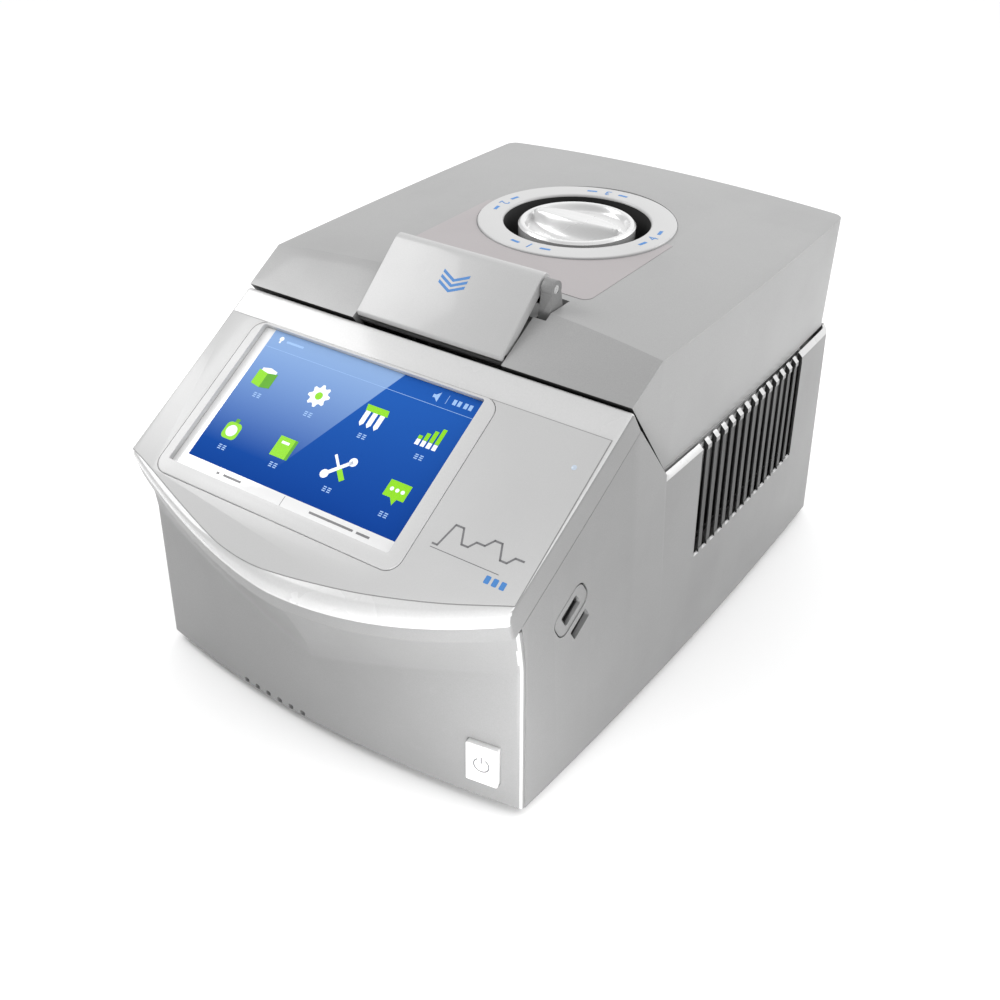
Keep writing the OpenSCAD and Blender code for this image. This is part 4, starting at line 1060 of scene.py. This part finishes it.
def build_flap():
    outer = [FLAP_FOOT, FLAP_HEAD]
    top = [(-36.2, 247.7), (-34.9, 248.8), (-33.4, 249.7), (-31.6, 250.3), (-29.8, 250.2), (-28.2, 249.5),
           (-26.9, 248.2), (-26.1, 246.6), (-25.8, 245.0), (-25.9, 243.0), (-26.6, 240.9), (-28.2, 238.8),
           (-30.5, 237.5), (-33.2, 237.4), (-36.0, 238.4)]
    hook = [(-65.2, 213.4), (-66.4, 214.6), (-67.8, 215.3), (-69.0, 214.8), (-69.4, 213.9), (-69.2, 212.9),
            (-70.2, 212.6), (-71.4, 212.8)]
    body = across("pull_flap", -51, 51, outer + top + hook)
    bevel(body, 0.7, 3, 50)
    tail = across("tail", -6, 6, [(-38, 240), (-27, 240), (-24.6, 214), (-27.2, 212), (-31, 214)])
    join(body, bevel(tail, 0.6, 2, 30))
    cut(body, rod("pin_hole", -49.7, 80, *PIN_AT, 2.56), rod("ear_space", -48, -40, *PIN_AT, 5.4))
    leg = [(-41.5, 230), (-37.7, 243.5), (-27.1, 243.5), (-22.5, 230)]
    return cut(body, across("ear_leg", -48, -40, leg))


finish_piece(build_flap(), "handle", "flap_white", stands_for=("latch_flap",), smooth=28)

FACE = math.atan2(FLAP_HEAD[1] - FLAP_FOOT[1], FLAP_HEAD[0] - FLAP_FOOT[0])
FLAP = Matrix.Translation((0, *FLAP_FOOT)) @ Matrix.Rotation(FACE, 4, "X")


def build_chevrons():
    """Three arrowheads that point down the flap, the way it is pulled."""
    parts = []
    for k in range(3):
        y = 39.5 - 3.4 * k
        ring = [(-9, y), (0, y - 4.4), (9, y), (9, y - 1.9), (0, y - 6.3), (-9, y - 1.9)]
        parts.append(prism("arrow", ring, -0.05, 0.05))
    return place(merge("flap_arrows", parts), FLAP)


finish_piece(build_chevrons(), "handle", "flap_white", mat_ink_blue)

# ---------------------------------------------------------------- knob and its ring

WELL_R, RING_Z = 46.8, 235.0
well = [(14, 204), (49.6, 204), (49.6, 232.4), (63.3, 232.4), (63.3, 234.0)]
well += arc(62.3, RING_Z - 1, 1, 0, 90, 6)[1:]
well += arc(WELL_R + 1.6, RING_Z - 1.6, 1.6, 90, 180, 6)
well += [(WELL_R, 208.4)]
well += arc(WELL_R - 2, 208.4, 2, 0, -90, 6)[1:]
well += [(14, 206.4)]
dial = lathe("knob_ring", well, 0, KNOB_Y, 160)
finish_piece(dial, "lid", "ring_white", stands_for=("knob_well",), smooth=35)
# Painted shade down the well's inner wall and floor, below the ring
paint_faces(dial, mat_painted_shade, lambda at, normal: at.z < 232.5)


def tick(angles, middle):
    """Short arc of the dial, from the first of the angles to the last, turned to middle."""
    inner, outer = 53.8, 56.0
    ring = [(inner, t) for t in angles] + [(outer, t) for t in reversed(angles)]
    ring = [(r * math.cos(middle + t), KNOB_Y + r * math.sin(middle + t)) for r, t in ring]
    return prism("tick", ring, RING_Z, RING_Z + 0.08)


def ring_digits():
    """Dial numbers 1 to 4 round the ring, with short arcs beside them."""
    parts = []
    dial_r = 55
    for k, deg in enumerate((-90, 182, 100, 0)):
        curve = bpy.data.curves.new("digit", "FONT")
        curve.body = str(k + 1)
        curve.size = 9.5
        curve.extrude = 0.04
        curve.align_x, curve.align_y = "CENTER", "CENTER"
        text = bpy.data.objects.new("digit", curve)
        scene.collection.objects.link(text)
        graph = bpy.context.evaluated_depsgraph_get()
        mesh = bpy.data.meshes.new_from_object(text.evaluated_get(graph))
        bpy.data.objects.remove(text)
        obj = bpy.data.objects.new("digit", mesh)
        scene.collection.objects.link(obj)
        a = math.radians(deg)
        at = Matrix.Translation((dial_r * math.cos(a), KNOB_Y + dial_r * math.sin(a), RING_Z + 0.05))
        place(obj, at @ Matrix.Rotation(a + math.pi / 2, 4, "Z"))
        parts.append(obj)
        parts.append(tick((0.14, 0.18, 0.22, 0.26), a))
        parts.append(tick((-0.14, -0.2, -0.26), a))
    return merge("ring_digits", parts)


finish_piece(ring_digits(), "lid", "ring_white", mat_ink_blue)


def build_knob():
    """Round cap with a dished top and a pointed oval grip across it, as one height field."""
    rings, spokes = 64, 192
    cap_r, grip_x, grip_y = 37.4, 35.4, 11.0

    def dish(r):
        rim = 234.0 - 1.6 * smoothstep((r - (cap_r - 1.6)) / 1.6)
        inner = 226.2 + 3.6 * (r / 33.0) ** 2
        return inner + (rim - inner) * smoothstep((r - 30.6) / 3.4)

    def height(x, y):
        r = math.hypot(x, y)
        half = grip_y * max(1 - (x / grip_x) ** 2, 0.0) ** 0.85
        base = dish(r)
        if half < 0.15 or r > 36:
            return base
        u = abs(y) / half
        crest = 237.3 - 2.2 * (abs(x) / grip_x) ** 3
        lift = 1 - smoothstep((u - 0.55) / 0.75)
        groove = 0.5 * (1 - smoothstep(u / 0.5))
        return base + (crest - groove - base) * lift * smoothstep((35.6 - abs(x)) / 5.0)

    verts = [(0, KNOB_Y, height(0, 0))]
    radii = [cap_r * (k / rings) ** 0.9 for k in range(1, rings + 1)]
    for r in radii:
        for k in range(spokes):
            a = 2 * math.pi * k / spokes
            x, y = r * math.cos(a), r * math.sin(a)
            verts.append((x, KNOB_Y + y, height(x, y)))
    skirt = [(cap_r, 231.0), (cap_r, 212.0), (cap_r - 0.6, 211.2), (cap_r - 2.4, 211.0), (cap_r - 2.8, 211.6),
             (cap_r - 2.8, 222.0), (12, 222), (12, 210.4)]
    for r, z in skirt:
        for k in range(spokes):
            a = 2 * math.pi * k / spokes
            verts.append((r * math.cos(a), KNOB_Y + r * math.sin(a), z))
    verts.append((0, KNOB_Y, 210.4))
    faces = [(0, 1 + k, 1 + (k + 1) % spokes) for k in range(spokes)]
    total = rings + len(skirt)
    for j in range(total - 1):
        for k in range(spokes):
            n = (k + 1) % spokes
            near, far = 1 + j * spokes, 1 + (j + 1) * spokes
            faces.append((near + k, far + k, far + n, near + n))
    last = 1 + (total - 1) * spokes
    faces += [(last + (k + 1) % spokes, last + k, len(verts) - 1) for k in range(spokes)]
    return mesh_object("grip_knob", verts, faces)


finish_piece(build_knob(), "knob", "knob_silver", stands_for=("knob",), smooth=50)

# ---------------------------------------------------------------- CAD pieces that stay

# Thin or very small pieces, whose edges stay as they are
SHARP = {"hinge_springs", "lid_film", "board_parts", "main_board"}
# Pieces shown in another material than the one of their slot
LOOKS = {"usb_bezel": "housing_silver", "usb_ports": "black_plastic"}
for name, obj in frame["nodes"].items():
    mat = MATERIALS[LOOKS.get(name, SLOT_OF[name])]
    if not obj.material_slots:
        obj.data.materials.append(mat)
    for s in obj.material_slots:
        s.material = mat
    if name not in SHARP and not obj.hide_render:
        weld = obj.modifiers.new("weld", "WELD")
        weld.merge_threshold = 0.00001
        edge = obj.modifiers.new("edge", "BEVEL")
        edge.width = 0.0003
        edge.segments = 2
        edge.limit_method = "ANGLE"
        edge.angle_limit = math.radians(40)

# ---------------------------------------------------------------- floor, light and camera

floor_mat = material("floor_paint", 250, 0.85, specks=0.0, grain=40.0, bump=0.0, cloud=0.0)
bpy.ops.mesh.primitive_plane_add(size=12)
floor = bpy.context.object
floor.name = "floor"
floor.data.materials.append(floor_mat)

world = bpy.data.worlds.new("studio")
scene.world = world
world.use_nodes = True
sky = world.node_tree.nodes["Background"]
sky.inputs["Strength"].default_value = 1.0
direction = node(world.node_tree, "ShaderNodeTexCoord").outputs["Generated"]
lean = node(world.node_tree, "ShaderNodeVectorMath", operation="DOT_PRODUCT")
# Brightest above and behind the machine, to the right
lean.inputs[1].default_value = (0.3, 0.55, 0.78)
world.node_tree.links.new(direction, lean.inputs[0])
level = ramp(world.node_tree, lean.outputs["Value"], -0.4, 0.9, 0.2, 1.38)
world.node_tree.links.new(level, sky.inputs["Color"])


def area_light(name, at, aim, size, power):
    data = bpy.data.lights.new(name, "AREA")
    data.shape = "RECTANGLE"
    data.size = size
    data.size_y = size
    data.energy = power
    obj = bpy.data.objects.new(name, data)
    obj.location = at
    obj.rotation_euler = (Vector(aim) - Vector(at)).to_track_quat("-Z", "Y").to_euler()
    obj.visible_camera = False
    scene.collection.objects.link(obj)


area_light("left_soft", (-1.0, -0.35, 1.0), (-0.08, -0.14, 0.15), 0.7, 9)
area_light("front_right", (0.22, -0.36, 0.05), (0.12, -0.17, 0.05), 0.12, 0.8)
area_light("back_right", (0.75, 1.0, 0.85), (0.1, 0.05, 0.15), 0.6, 5)

# The camera is fitted to the corners of the machine in the photo
camera_data = bpy.data.cameras.new("camera")
camera_data.sensor_width = 36.0
camera_data.lens = 45.786
camera_data.clip_start = 0.01
camera = bpy.data.objects.new("camera", camera_data)
az, el, roll = (math.radians(v) for v in (34.5355, 32.8703, 0.7849))
back = Vector((math.sin(az) * math.cos(el), -math.cos(az) * math.cos(el), math.sin(el)))
right = Vector((math.cos(az), math.sin(az), 0.0))
up = back.cross(right)
rolled_right = math.cos(roll) * right + math.sin(roll) * up
rolled_up = -math.sin(roll) * right + math.cos(roll) * up
turn = Matrix((rolled_right, rolled_up, back)).transposed().to_4x4()
camera.matrix_world = Matrix.Translation((0.40027, -0.57934, 0.52250)) @ turn
scene.collection.objects.link(camera)
scene.camera = camera
